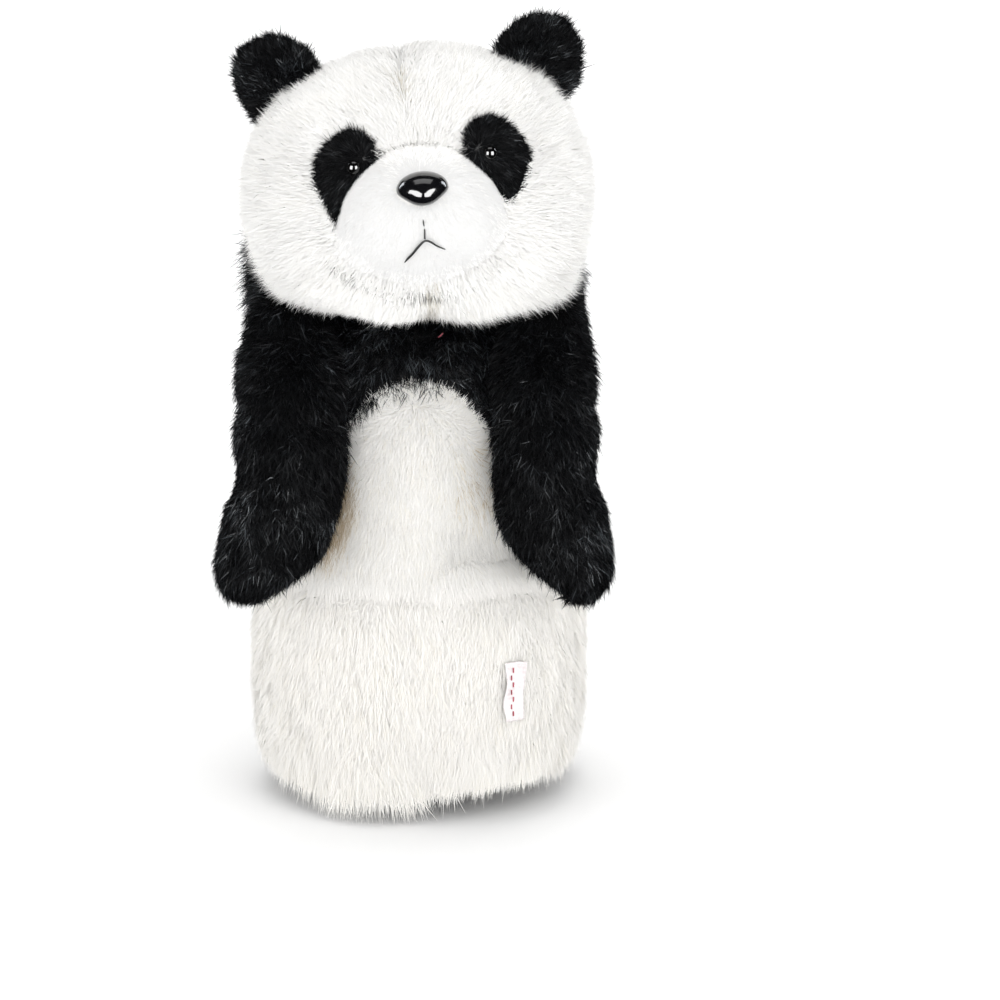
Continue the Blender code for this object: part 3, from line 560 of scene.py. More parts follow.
def fur(name, roots, normals, comb, length, width, body, shades, seed, lift, lay=0.6, tuft=0.0062,
        pull=0.10, stray=0.19, wave=0.05, droop=0.0, soft=0.98, roll=20, blend=(0.72, 0.23, 0.05),
        floor=None, slot="white_plush", deepen=0.0, mix=0.3, lean=0.20, flat=0.0, cast=0.3):
    """Pile on a skin: one tapered ribbon for each root. What isn't given is that of long white pile.

    length and width are a hair's, comb is the way it lies, lift how steeply it leaves the skin and lay how
    far it bends over. tuft and pull are the size and tightness of the locks, stray and lean how far hairs
    and locks part ways, and roll how far hairs turn about themselves, in degrees. soft is how far the pile
    is shaded like the skin, flat how far as if it faced the front, mix how far one lock is one shade, and
    deepen moves the choice towards the later shades. cast is the share of the pile that throws shadows:
    real white fibre lets light through, so most of it throws none, and the skins beneath keep the piece's
    own shadow.
    """
    rng = np.random.default_rng(seed)
    count = len(roots)
    comb = across(comb, normals)
    length = spread(length, count) * rng.uniform(0.72, 1.12, count)
    centre, own = tufts(roots + ripple(roots, 0.02, seed)[:, None] * tuft * 0.3, tuft, seed)
    length = length * (0.85 + 0.30 * own)
    toward = centre - roots
    toward = toward - (toward * normals).sum(1, keepdims=True) * normals
    swing = np.stack([ripple(centre, 0.03, seed + k) for k in range(3)], axis=1) * lean
    comb = across(comb + swing, normals)
    side_way = np.cross(normals, comb)
    jitter = comb * rng.normal(0, stray, (count, 1)) + side_way * rng.normal(0, stray, (count, 1))
    lift = spread(lift, count) * rng.uniform(0.8, 1.2, count)
    phase, turn = rng.uniform(0, 6.28, count), rng.uniform(0.6, 1.4, count)
    path = []
    for t in STEPS:
        rise = (lift * t * (1 - 0.5 * lay * t))[:, None]
        run = ((1 - lift) * t + 0.45 * lay * t * t)[:, None]
        sway = (wave * np.sin(6.28 * t * turn + phase) * t)[:, None]
        p = roots + length[:, None] * (normals * rise + comb * run + jitter * t + side_way * sway)
        p = p + toward * (pull * t**1.3)
        p[:, 2] -= droop * length * t * t
        if floor is not None:
            p[:, 2] = np.maximum(p[:, 2], floor + 0.0002 * own)
        path.append(p)
    along = unit(path[-1] - path[0])
    side = unit(np.cross(along, normals))
    face = np.cross(side, along)
    angle = np.radians(rng.normal(0, roll, count))[:, None]
    side, face = (side * np.cos(angle) + face * np.sin(angle),
                  face * np.cos(angle) - side * np.sin(angle))
    face = face * np.where((face * normals).sum(1, keepdims=True) < 0, -1, 1)
    flat = spread(flat, count)[:, None]
    shade = unit(normals * soft * (1 - flat) + FORWARD * flat + face * (1 - soft) + comb * 0.12
                 + rng.normal(0, 0.06, (count, 3)))
    width = width * WIDER * rng.uniform(0.75, 1.25, count) / 2
    points = []
    for p, share in zip(path, EDGE):
        reach = side * (width * share)[:, None]
        points += [p - reach, p + reach]
    points = np.stack(points + [path[-1]], axis=1)
    tone = np.clip(own * mix + rng.uniform(0, 1 - mix, count) + deepen, 0, 0.9999)
    order = np.argsort(rng.uniform(size=count))
    pick = np.searchsorted(np.cumsum(blend), tone * sum(blend))
    pieces = max(1 if cast == 1 else 3, math.ceil(count * 3 / MOST_FACES))
    for n in range(pieces):
        chosen = np.sort(order[n::pieces])
        mesh = ribbon_mesh(name, points[chosen], shade[chosen], pick[chosen], shades)
        piece = add_object(name if pieces == 1 else f"{name}_{n + 1}", mesh)
        piece.visible_shadow = n < cast * pieces
        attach(piece, body)


def black_fur(name, roots, normals, comb, length, width, body, seed, **how):
    """Black pile: tight locks of wider hairs, each shaded by itself, and all of them throw shadows."""
    usual = {"tuft": 0.0046, "pull": 0.50, "stray": 0.28, "wave": 0.12, "soft": 0.18, "roll": 45,
             "slot": "black_plush", "blend": (0.60, 0.26, 0.12, 0.02), "mix": 0.35, "lean": 0.35, "cast": 1}
    fur(name, roots, normals, comb, length, width, body, BLACK, seed, **{**usual, **how})


# ---------------------------------------------------------------- head
def head_shape(d):
    """Points of the plush head for directions in its own frame."""
    size = ((np.abs(d) / np.array([A, B, C])) ** POWER).sum(1)
    p = d * (size ** (-1 / POWER))[:, None]
    n = unit(head_gradient(p))
    x, y, z = p.T
    wide = np.abs(x)
    front = smooth(-y, 0.0, 0.03)
    out = -0.0012 * np.ones(len(p))
    out -= 0.0022 * bump(x - PART_X, 0.0040) * smooth(z, 0.026, 0.042) * front      # forehead parting
    out -= 0.0034 * bump(x - SPLIT_X, 0.0048) * smooth(-z, 0.044, 0.052) * front    # chin crease
    out += 0.0026 * bump(z + 0.046, 0.012) * bump(x, 0.036) * front                 # chin
    out += 0.0048 * bump(wide - 0.046, 0.020) * bump(z + 0.024, 0.020)              # cheeks
    out += 0.0030 * bump(wide - 0.018, 0.012) * bump(z + 0.047, 0.012) * front      # jowls
    out += 0.0056 * bump(x - 0.042, 0.020) * bump(z + 0.041, 0.018)                 # fuller on the right
    out += 0.0008 * bump(x - 0.008, 0.030) * smooth(z, 0.030, 0.056)                # crown
    out -= 0.0014 * bump(wide - EYE_X, 0.012) * bump(z - EYE_Z, 0.012) * front      # eye sockets
    out += 0.0010 * ripple(p, 0.045, 11)
    return p + n * out[:, None]


ball = bmesh.new()
bmesh.ops.create_icosphere(ball, subdivisions=5, radius=1)
sphere_points = np.array([v.co[:] for v in ball.verts])
sphere_faces = [[v.index for v in f.verts] for f in ball.faces]
ball.free()
head = clean(new_mesh("head_skin", to_world(head_shape(unit(sphere_points))), sphere_faces, WHITE_SKIN))


def muzzle_reach(v):
    """The muzzle's swell in width, and its shorter lower end: beneath the mouth it is all chin."""
    return 1 + 0.06 * smooth(0.012 - v, 0.0, 0.016), 1 - 0.20 * smooth(-v, 0.0, 0.022)


def muzzle_face(u, v, lift=0.0):
    """Points of the muzzle's face, u across and v up from its middle."""
    swell, drop = muzzle_reach(v)
    r = np.clip((u / (MUZ_A * swell)) ** 2 + (v / (MUZ_C * drop)) ** 2, 0, 1)
    low = smooth(-v, 0.0, 0.022)
    high = MUZ_H * (1 - r) ** (0.75 + 0.55 * low)
    high = high + 0.0030 * (1 - smooth(np.sqrt(r), 0.6, 1.0)) - 0.0012 * low * r
    return head_front(u, MUZ_Z + v, 0.0004) + np.stack([0 * u, -(lift + high), 0 * u], axis=-1)


RINGS, AROUND = 26, 72                   # of the muzzle's face
radius, cosine, sine = polar(RINGS, AROUND, 0.8)
mu, mv = MUZ_A * radius * cosine, MUZ_C * radius * sine
mu, mv = mu * muzzle_reach(mv)[0], mv * muzzle_reach(mv * 0.85)[1]
dent = -0.0012 * bump(mu, 0.004) * smooth(-mv, -0.005, 0.012)                        # under the nose
dent = dent - 0.0010 * bump(np.abs(mu) - 0.006, 0.006) * bump(mv + 0.0145, 0.004)    # at the mouth's ends
dent = dent + 0.0024 * bump(mu + 0.001, 0.0065) * bump(mv + 0.0205, 0.005)           # lower lip
muzzle_back = head_front(mu[-AROUND:] * 0.9, MUZ_Z + mv[-AROUND:] * 0.9, -0.003)
points = np.concatenate([muzzle_face(mu, mv, dent - 0.0006), muzzle_back, muzzle_back.mean(0)[None]])
back_row, middle = RINGS * AROUND, (RINGS + 1) * AROUND
faces = grid_faces(AROUND, RINGS + 1, True)
faces += [(back_row + i, back_row + (i + 1) % AROUND, middle) for i in range(AROUND)]
muzzle = clean(new_mesh("muzzle_skin", to_world(points), faces, WHITE_SKIN))
FACE_MID = to_world(np.array([[0.0, -0.045, -0.010]]))[0]


def patch_taper(v):
    """The eye patch's lower end is narrower, and leans to the muzzle."""
    low = smooth(-v / PATCH_C, 0.0, 1.1)
    return 1 - 0.34 * low, 0.0042 * low


def in_patch(p, grow=1.0):
    """How far a point of the head's frame is into the nearer eye patch: below 1 is inside."""
    side = np.sign(p[:, 0])
    du, dv = p[:, 0] - FACE_X - side * PATCH_X, p[:, 2] - PATCH_Z
    tilt = side * PATCH_TILT
    u, v = du * np.cos(tilt) + dv * np.sin(tilt), -du * np.sin(tilt) + dv * np.cos(tilt)
    narrow, shift = patch_taper(v)
    edge = ((u + side * shift) / (PATCH_A * narrow * grow)) ** 2 + (v / (PATCH_C * grow)) ** 2
    return np.where(p[:, 1] < 0, edge, 9.0)


def in_muzzle(p, grow=1.0):
    """How far a point of the head's frame is into the muzzle: below 1 is inside."""
    swell, drop = muzzle_reach(p[:, 2] - MUZ_Z)
    edge = (p[:, 0] / (MUZ_A * swell * grow)) ** 2 + ((p[:, 2] - MUZ_Z) / (MUZ_C * drop * grow)) ** 2
    return np.where(p[:, 1] < 0, edge, 9.0)


def in_head(world):
    """How far a point is into the head: below 1 is inside."""
    return ((np.abs(to_head(world)) / [A, B, C]) ** POWER).sum(1)


def keep_head(world):
    """Where the head has pile: not under the muzzle, the eye patches and the ears."""
    p = to_head(world)
    ear = np.linalg.norm(np.abs(p[:, [0, 2]]) - [EAR_X * 0.93, EAR_Z * 0.93], axis=1)
    under_ear = (ear < 0.010) & (p[:, 2] > 0) & (np.abs(p[:, 1] - EAR_Y) < 0.008)
    return (in_muzzle(p, 0.92) > 1) & (in_patch(p, 0.95) > 1) & ~under_ear


def keep_muzzle(world):
    """Where the muzzle has pile: not under the nose."""
    p = to_head(world)
    nose = (p[:, 0] / (NOSE_A * 0.86)) ** 2 + ((p[:, 2] - NOSE_Z) / (NOSE_C * 0.84)) ** 2
    return (in_muzzle(p) < 1.20) & (nose > 1)


def under_muzzle(world, near=1.05, far=2.9, top=-0.020):
    """Where the longer hairs of the chin grow."""
    p = to_head(world)
    return (in_muzzle(p) < far) & (in_muzzle(p) > near) & (p[:, 2] < top)


def over_muzzle(world):
    """Where the forehead's lowest hairs grow."""
    p = to_head(world)
    above = (in_muzzle(p) < 1.60) & (in_muzzle(p) > 0.98) & (p[:, 2] > MUZ_Z + 0.022)
    return above & (in_patch(p) > 1.5)


def above_muzzle(world):
    """1 for the head's faces that those hairs can stand on, and 0 for the others."""
    p = to_head(world)
    return 1.0 * (in_muzzle(p) < 3.2) * (in_muzzle(p) > 0.7) * (p[:, 2] > 0)


roots, out = scatter(head, 185000, 21, keep_head)
local = to_head(roots)
x, y, z = local.T
flow = (roots - FACE_MID) @ R_HEAD
flow[:, 1] *= 0.4
back = smooth(y, -0.02, 0.03)
flow = unit(flow) * (1 - 0.6 * back[:, None]) + np.array([0, 0.35, -0.9]) * back[:, None]
flow[:, 0] += np.sign(x - PART_X) * smooth(z, 0.018, 0.04) * bump(x - PART_X, 0.012) * (1 - back) * 0.9
cheek = smooth(np.abs(x), 0.030, 0.060) * smooth(-z, -0.030, 0.010)
flank = smooth(np.abs(x), 0.034, 0.058)
crown = smooth(z, 0.030, 0.054)
below = smooth(-z, 0.034, 0.052) * smooth(x, -0.010, 0.030)
length = 0.0122 + 0.0035 * cheek - 0.0062 * bump(in_patch(local) - 1, 0.9)
length = length - 0.0030 * bump(in_muzzle(local) - 1, 0.4) + 0.0022 * flank + 0.0012 * crown + 0.0050 * below
# Painted shade in the forehead's parting and the chin's crease: hairs there take the later, darker shades.
seam = bump(x - PART_X, 0.0016) * smooth(z, 0.031, 0.037) * smooth(0.049 - z, 0, 0.005)
cleft_shade = bump(x - SPLIT_X, 0.0030) * smooth(-z, 0.0400, 0.0450) * (y < 0)
fur("head_pile", roots, out, flow @ R_HEAD.T, length, 0.00030, "head", HEAD_WHITE + CREASE_SHADE[:1], 22,
    lift=0.60 + 0.14 * flank + 0.10 * crown, lay=0.5, droop=0.06, blend=(0.7, 0.24, 0.055, 0.005),
    lean=0.16 + 0.14 * crown[:, None], flat=0.30 * smooth(-y, 0.012, 0.034) * (1 - flank),
    deepen=0.55 * seam * (1 - back) + 0.70 * cleft_shade, cast=0.25)

roots, out = scatter(muzzle, 75000, 31, keep_muzzle)
local = to_head(roots)
x, y, z = local.T
flow = np.stack([x, 0 * x + 0.004, z - NOSE_Z - 0.002 - 0.003 * (z < NOSE_Z)], axis=1)
comb = unit(flow) @ R_HEAD.T
outer = smooth(in_muzzle(local), 0.42, 1.02) * smooth(in_patch(local), 1.3, 3.2)
upper = smooth(z - MUZ_Z, 0.012, 0.028)
length = 0.0028 + 0.0016 * smooth(in_muzzle(local), 0.40, 1.05) + 0.0070 * outer * (1 - 0.75 * upper)
# Hairs in the crease where the muzzle meets the forehead, between the eyes, take tan and grey shades: painted
# shade.
brow = bump(z - (MUZ_Z + MUZ_C * 0.93 - 0.008 * (x / 0.024) ** 2), 0.0034) * bump(x, 0.026)
dark = np.random.default_rng(5).uniform(size=len(roots)) < 0.30 * brow      # the line between the eyes
# The muzzle's pile has that painted-shade white, turning to the head's own white towards its edge.
fur("muzzle_pile", roots[~dark], out[~dark], comb[~dark], length[~dark], 0.00028, "head",
    MUZZLE_SHADED_WHITE + HEAD_WHITE[:1], 32, lift=(0.34 + 0.30 * outer)[~dark], lay=0.7, tuft=0.0045, pull=0.08,
    stray=0.15, wave=0.02, lean=0.15, soft=0.97, roll=18, blend=(0.76, 0.20, 0.04), mix=0.2,
    deepen=(0.95 * outer)[~dark], flat=(0.45 + 0.25 * outer)[~dark], cast=0.0)
fur("muzzle_brow_shade_pile", roots[dark], out[dark], comb[dark], length[dark], 0.00028, "head", CREASE_SHADE, 33,
    lift=0.30, lay=0.8, tuft=0.0035, stray=0.12, wave=0.02, soft=0.95, roll=22, blend=(0.10, 0.90), mix=0.6,
    lean=0.35, flat=0.4)

# Longer hairs under the muzzle, which close the gap between its pile and the chin's.
roots, out = scatter(head, 13000, 35, under_muzzle, lambda c: 1.0 * under_muzzle(c, 0.7, 3.2, -0.018))
comb = unit((roots - FACE_MID) @ R_HEAD * [1, 0.4, 1]) @ R_HEAD.T
split = bump(to_head(roots)[:, 0] - SPLIT_X, 0.0026)
fur("chin_pile", roots, out, comb, 0.0108 * (1 - 0.5 * split), 0.00030, "head", HEAD_WHITE, 36, lift=0.80,
    stray=0.20, lean=0.16, flat=0.35, cast=0.0)

# Forehead hairs that hang a little over the top of the muzzle.
roots, out = scatter(head, 14000, 37, over_muzzle, above_muzzle)
comb = np.broadcast_to(np.array([0.0, -0.1, -1.0]) @ R_HEAD.T, roots.shape)
fur("brow_pile", roots, out, comb, 0.0072, 0.00030, "head", HEAD_WHITE, 38, lift=0.52, pull=0.08, stray=0.24,
    lean=0.30, flat=0.30, cast=0.0)

# Eye patches: black plush ovals sewn on the cheeks.
for side, name in SIDES:
    tilt = side * PATCH_TILT
    radius, cosine, sine = polar(12, 40)
    u, v = PATCH_A * 1.02 * radius * cosine, PATCH_C * 1.02 * radius * sine
    narrow, shift = patch_taper(v)
    u = u * narrow - side * shift
    x = side * PATCH_X + u * math.cos(tilt) - v * math.sin(tilt) + FACE_X
    z = PATCH_Z + u * math.sin(tilt) + v * math.cos(tilt)
    over = np.sqrt((x / MUZ_A) ** 2 + ((z - MUZ_Z) / MUZ_C) ** 2)
    push = np.maximum(0.90 + 0.12 * over - over, 0) / over          # off the muzzle
    x, z = x * (1 + push), MUZ_Z + (z - MUZ_Z) * (1 + push)
    sheets = [head_front(x, z, 0.0012 + 0.0010 * (1 - radius**2)), head_front(x, z, -0.0002)]
    patch = pad(f"eye_patch_{name}_skin", to_world(np.concatenate(sheets)), 40, 12, BLACK_SKIN)
    stands_for(patch, "head", "black_plush", f"eye_patch_{name}", fill=0.4)
    eye_at = head_front(np.array([side * EYE_X + FACE_X]), np.array([EYE_Z]), 0.003)
    roots, out = scatter(patch, 13000, 41 + side, lambda w, e=eye_at: (
        ((to_head(w) * [1, 0, 1] - e * [1, 0, 1]) ** 2).sum(1) > 0.0021**2))
    good = (out @ (R_HEAD @ np.array([0, -1, 0]))) > 0.1
    roots, out = roots[good], out[good]
    flow = to_head(roots) - np.array([side * (EYE_X - 0.004) + FACE_X, 0, EYE_Z + 0.004])
    flow[:, 1] = 0.002
    black_fur(f"eye_patch_{name}_pile", roots, out, unit(flow) @ R_HEAD.T, 0.0054, 0.00034, "head", 44 + side,
              lift=0.38, tuft=0.0032, pull=0.40, stray=0.24, wave=0.08, soft=0.22,
              blend=(0.72, 0.20, 0.07, 0.01), mix=0.4)

# Eyes and nose: moulded gloss domes, each with a seat rim.
EYE_PROFILE = [(0.0, 0.00370), (0.0006, 0.00367), (0.0012, 0.00358), (0.0018, 0.00340), (0.0024, 0.00314),
               (0.0030, 0.00275), (0.0036, 0.00215), (0.0040, 0.00150), (0.0043, 0.00060), (0.0046, 0.0),
               (0.0045, -0.0006), (0.0, -0.0006)]
for side, name in SIDES:
    at_x, at_z = np.array([side * EYE_X + FACE_X]), np.array([EYE_Z])
    seat = head_front(at_x, at_z, 0.0022)[0]
    facing = Vector(unit(head_gradient(head_front(at_x, at_z)))[0])
    place = HEAD @ Matrix.Translation(seat) @ facing.to_track_quat("Z", "X").to_matrix().to_4x4()
    eye = lathe(f"eye_{name}_dome", np.array(EYE_PROFILE) * [0.76, 0.92], 36, place, GLASS_EYE)
    stands_for(eye, "head", "black_plastic", f"eye_{name}")

radius, cosine, sine = polar(22, 64)
pinch = 1 - 0.30 * smooth(-sine, 0.1, 1.0) * np.abs(cosine) ** 0.5      # narrower below
pinch = pinch - 0.04 * smooth(sine, 0.6, 1.0) * bump(cosine, 0.3)
u = NOSE_A * 1.02 * radius * cosine * pinch
v = NOSE_C * 1.06 * radius * sine * np.where(sine < 0, 0.96, 0.95)
dome = (1 - radius**2.4) ** 0.55
groove = 0.0003 * bump(u, 0.0016) * smooth(-v, -0.0005, 0.003)
nostril = -0.0003 * bump(np.abs(u) - 0.0060, 0.0030) * bump(v + 0.0026, 0.0022)
u, v = u + 0.0013, v + 0.0008
rise = 0.0012 + NOSE_H * dome + groove + nostril
top = muzzle_face(u, NOSE_Z - MUZ_Z + v, 0.0002) + np.stack([0 * u, -rise, 0 * u], axis=-1)
low = muzzle_face(u * 0.98, NOSE_Z - MUZ_Z + v * 0.98, -0.0012)
nose = pad("nose_dome", to_world(np.concatenate([top, low])), 64, 22, GLOSS)
stands_for(nose, "head", "black_plastic", "nose")


def mouth(name, knots, radius):
    """Black thread on the muzzle: knots are (x, z, lift off the muzzle, taper)."""
    x, z, lift, tapers = np.array(knots).T
    points = to_world(muzzle_face(x, z - MUZ_Z, lift))
    thread(f"mouth_thread_{name}", [points], radius, BLACK_THREAD, "head", f"mouth_stitch_{name}",
           "black_thread", tapers)


mouth("upper", [(0.0001, -0.0125, -0.0012, 0.4), (0.0002, -0.0148, 0.0003, 0.7),
                (0.0002, -0.0160, 0.0004, 0.7), (0.0004, -0.0175, -0.0012, 0.4),
                (0.0003, -0.0190, 0.0010, 0.9), (0, -0.0222, 0.0014, 1)], 0.00042)
mouth("lower", [(-0.0094, -0.0318, 0.0004, 0.4), (-0.0080, -0.0302, 0.0014, 1.1),
                (-0.0058, -0.0284, 0.0013, 0.9), (-0.0034, -0.0256, 0.0017, 1.1),
                (0, -0.0226, 0.0016, 0.9), (0.0026, -0.0238, 0.0015, 0.9),
                (0.0052, -0.0262, 0.0011, 0.7), (0.0084, -0.0278, 0.0002, 0.4)], 0.00052)

# Ears: rounded pads, cupped at the front. Each has (share of the width, shift, lean of the lower end).
for (side, name), (share, shift, lean) in zip(SIDES, ((0.90, 0.0030, 0.24), (0.95, 0.0012, 0.12))):
    place = (
        HEAD @ Matrix.Translation((side * EAR_X, EAR_Y, EAR_Z))
        @ Matrix.Rotation(math.atan2(EAR_X, EAR_Z) * side * 0.75, 4, "Y")
        @ Matrix.Rotation(math.radians(14) * side, 4, "Z")
    )
    radius, cosine, sine = polar(14, 44)
    u, v = EAR_A * share * radius * cosine + shift, EAR_C * radius * sine
    u = u + side * lean * np.maximum(-v, 0)
    v = v * np.where(v < 0, 1.28, 0.98)
    swell = np.clip(1 - radius**2, 0, 1) ** 0.6
    front = np.stack([u, -(0.0006 + 0.0030 * swell - 0.0018 * bump(radius, 0.45)), v], axis=1)
    rear = np.stack([u, 0.0006 + 0.0070 * swell, v], axis=1)
    points = [place @ Vector(p) for p in np.concatenate([front, rear])]
    ear = pad(f"ear_{name}_skin", points, 44, 14, BLACK_SKIN)
    stands_for(ear, "head", "black_plush", f"ear_{name}_front", f"ear_{name}_back", fill=0.5)
    roots, out = scatter(ear, 24000, 51 + side, lambda w: in_head(w) > 0.93)
    turned = np.array(place.to_3x3())
    local = (roots - np.array(place.translation)) @ turned
    rim = smooth(np.linalg.norm(local[:, [0, 2]], axis=1), 0.008, 0.017)
    comb = unit((local + [0, 0, 0.012]) * [1, 0.3, 1]) @ turned.T
    # Patches of lighter hairs: painted sheen, partly bluish-grey tips.
    black_fur(f"ear_{name}_pile", roots, out, comb, 0.0062 + 0.0016 * rim, 0.00042, "head", 55 + side,
              lift=0.58, lay=0.5, deepen=0.16 * smooth(ripple(roots, 0.022, 57 + side), 0.0, 0.9))

stands_for(head, "head", "white_plush", "cheek_left", "cheek_right", "forehead", "nape", "chin",
           "head_filling", fill=0.85)
stands_for(muzzle, "head", "white_plush", "muzzle", "muzzle_filling", fill=0.8)

# ---------------------------------------------------------------- shoulders, belly and back
TORSO_MID = (0.0, 0.0, 0.14)
CLOTH = 0.0016                               # thickness of the plush's backing
ARCH_BASE = 0.145                            # the pile goes out from here about the bib's round top
ARCH_SIZE = np.array([ARCH_HALF, 1, ARCH_Z - ARCH_BASE])


def torso_skin(degrees, z):
    p = oval(TORSO, degrees, z)
    n = round_out(p, 0.073, 0.067)
    x, front = p[:, 0], p[:, 1] < 0
    out = -0.0010 + 0.0012 * ripple(p, 0.06, 71)
    out -= 0.0016 * bump(z - 0.0905, 0.0075)                      # drawn in by the waist elastic
    out += 0.0018 * bump(z - 0.112, 0.016)                        # the belly fold over it
    gathers = np.sin(np.radians(degrees) * 17 + 3 * ripple(p, 0.05, 72))
    out += 0.0014 * gathers * bump(z - WAIST_Z, 0.012) * 0.5
    fold = 0.0042 * smooth(x, 0.002, 0.022) * front               # on the right, above the waist
    out -= fold * smooth(0.136 - z, 0, 0.024) * smooth(z - 0.1040, 0, 0.0045)
    ridge = 0.0040 * bump(x - 0.002, 0.019) - 0.0030 * bump(x + 0.035, 0.010)
    out += ridge * (front * smooth(0.190 - z, 0, 0.02) * smooth(z, 0.096, 0.118))
    p = p + n * (out * smooth(0.236 - z, 0, 0.02))[:, None]
    # The left shoulder stands higher.
    p[:, 2] += 0.0090 * smooth(-p[:, 0], 0.026, 0.056) * smooth(z, 0.200, 0.226)
    return p


def panels(name, material, *edges):
    """A sheet of the body from panels: each is (low edge, high edge, heights, columns)."""
    points, faces, base = [], [], 0
    for low, high, heights, nu in edges:
        share = np.linspace(0, 1, nu)
        degrees = low(heights)[:, None] * (1 - share) + high(heights)[:, None] * share
        points.append(torso_skin(degrees.ravel(), np.repeat(heights, nu)))
        faces += [tuple(base + i for i in face) for face in grid_faces(nu, len(heights))]
        base += len(points[-1])
    return walled(clean(new_mesh(name, np.concatenate(points), faces, material), TORSO_MID), CLOTH)


def side_sweep(z):
    """Degrees by which the black side panel's rear edge curves forward, down to the waist."""
    return 28 * np.sqrt(np.clip((BACK_SPLIT - z) / 0.058, 0, 1))


def bib_left(z):
    return 270 - bib_angle(z)


def bib_right(z):
    return 270 + bib_angle(z)


bib_rows = np.concatenate([np.linspace(WAIST_Z, 0.176, 42), ARCH_Z - 0.010 * np.linspace(1, 0, 12)[1:] ** 2])
side_rows = np.linspace(WAIST_Z, BACK_SPLIT, 30)
top_rows = np.concatenate([
    np.linspace(BACK_SPLIT, ARCH_Z, 22), np.linspace(ARCH_Z, 0.2395, 40)[1:],
    [0.2405, 0.2415, 0.2424, 0.2431, 0.2437, 0.2441, 0.2444, 0.2446, 0.2447],
])
bib = panels("belly_skin", IVORY_SKIN, (bib_left, bib_right, bib_rows, 50))
yoke = panels(
    "shoulder_skin", BLACK_SKIN, (bib_right, lambda z: 630 - bib_angle(z), top_rows, 150),
    (bib_right, lambda z: 360 - side_sweep(z), side_rows, 30),
    (lambda z: 180 + side_sweep(z), bib_left, side_rows, 30),
)
rear = panels("back_skin", IVORY_SKIN,
              (lambda z: -side_sweep(z), lambda z: 180 + side_sweep(z), side_rows, 90))
stands_for(bib, "body", "white_plush", "belly_bib", fill=0.5)
stands_for(rear, "body", "white_plush", "back_lower", fill=0.5)
stands_for(yoke, "body", "black_plush", "yoke_front_left", "yoke_front_right", "yoke_back", "yoke_crown",
           "crown_filling", fill=0.5)


def torso_roots(obj, count, seed, keep=None):
    """Roots on the outer side of a walled sheet of the body."""
    roots, out = scatter(obj, count * 2, seed, keep)
    radial = np.stack([roots[:, 0], roots[:, 1], np.maximum(roots[:, 2] - 0.20, 0) * 2.0], axis=1)
    good = (out * radial).sum(1) > 0
    return roots[good], out[good]


def arch_rise(roots):
    """Ways out from the middle of the bib's round top."""
    return np.stack([roots[:, 0], 0 * roots[:, 0], np.maximum(roots[:, 2] - ARCH_BASE, 0)], axis=1)


def arch_reach(roots):
    """1 on the edge of the bib's round top, and less inside it."""
    return np.linalg.norm(arch_rise(roots) / ARCH_SIZE, axis=1)


def torso_comb(roots, out, spread_x=0.75):
    """Pile that hangs, parts along the bib's top edge and lies outwards on the shoulders."""
    down = DOWN + x_way(roots[:, 0] * spread_x)
    near = bump(arch_reach(roots) - 1, 0.22) * smooth(roots[:, 2], 0.140, 0.160) * (roots[:, 1] < 0)
    near = near[:, None]
    down = down * (1 - near) + unit(arch_rise(roots)) * near * 0.9
    top = smooth(roots[:, 2], 0.215, 0.235)[:, None]
    outward = np.stack([roots[:, 0], roots[:, 1] - 0.035, 0 * roots[:, 0]], axis=1)
    return across(down * (1 - top) + unit(outward) * top, out)


def evened(roots, out):
    """Normals of the plain round of the body near the waist, so that the pile closes over the seam."""
    near = bump(roots[:, 2] - 0.0915, 0.0115)[:, None]
    return unit(out * (1 - near) + round_out(roots, 0.0735, 0.067) * near)


roots, out = torso_roots(yoke, 84000, 81, lambda w: in_head(w) > 0.9)
x, y, z = roots.T
corner = smooth(np.abs(x), 0.040, 0.062) * smooth(z, 0.196, 0.222)
edge = bump(arch_reach(roots) - 1, 0.25) * (y < 0)
comb = torso_comb(roots, out) + corner[:, None] * np.stack([2.0 * np.sign(x), 0 * x, 0.8 + 0 * x], axis=1)
over = edge * smooth(0.020 - x, 0, 0.012) * smooth(z, 0.150, 0.165)      # hangs over the bib on the left
comb = comb * (1 - over[:, None]) + over[:, None] * (DOWN * 0.7 - unit(arch_rise(roots) / ARCH_SIZE) * 0.9)
edge = edge * (1 - over)
length = 0.0100 * (1 - 0.60 * edge) + 0.0020 * corner + 0.0060 * (corner * smooth(-x, 0.0, 0.04))
# Patches of lighter hairs: painted sheen, partly bluish-grey tips.
black_fur("shoulder_pile", roots, out, comb, length, 0.00040, "body", 82, lift=0.56 - 0.2 * edge, droop=0.05,
          deepen=0.10 + 0.28 * smooth(ripple(roots, 0.030, 87), -0.1, 0.9))

roots, out = torso_roots(bib, 78000, 83)
x, y, z = roots.T
out = evened(roots, out)
sweep = x_way(0.5 * smooth(x, 0.005, 0.03)) * smooth(0.13 - z, 0, 0.03)[:, None]
comb = across(torso_comb(roots, out, 1.5) + sweep, out)
foot = smooth(0.108 - z, 0, 0.014)
edge = 0.026 + 0.35 * np.maximum(0.135 - z, 0)
# Painted shadow beside the left arm, partly a warm underfur tone, and a fainter warm tone beside the right
# arm: they take the later, warmer shades.
warm_and_shade = smooth(-x - edge, -0.006, 0.006) * smooth(0.166 - z, 0, 0.02) * smooth(z, 0.100, 0.122)
warm_and_shade = warm_and_shade + 0.26 * smooth(x, 0.012, 0.024) * bump(z - 0.148, 0.018)      # tan beside the arms
arc, high = arch_reach(roots), smooth(z, 0.135, 0.150)
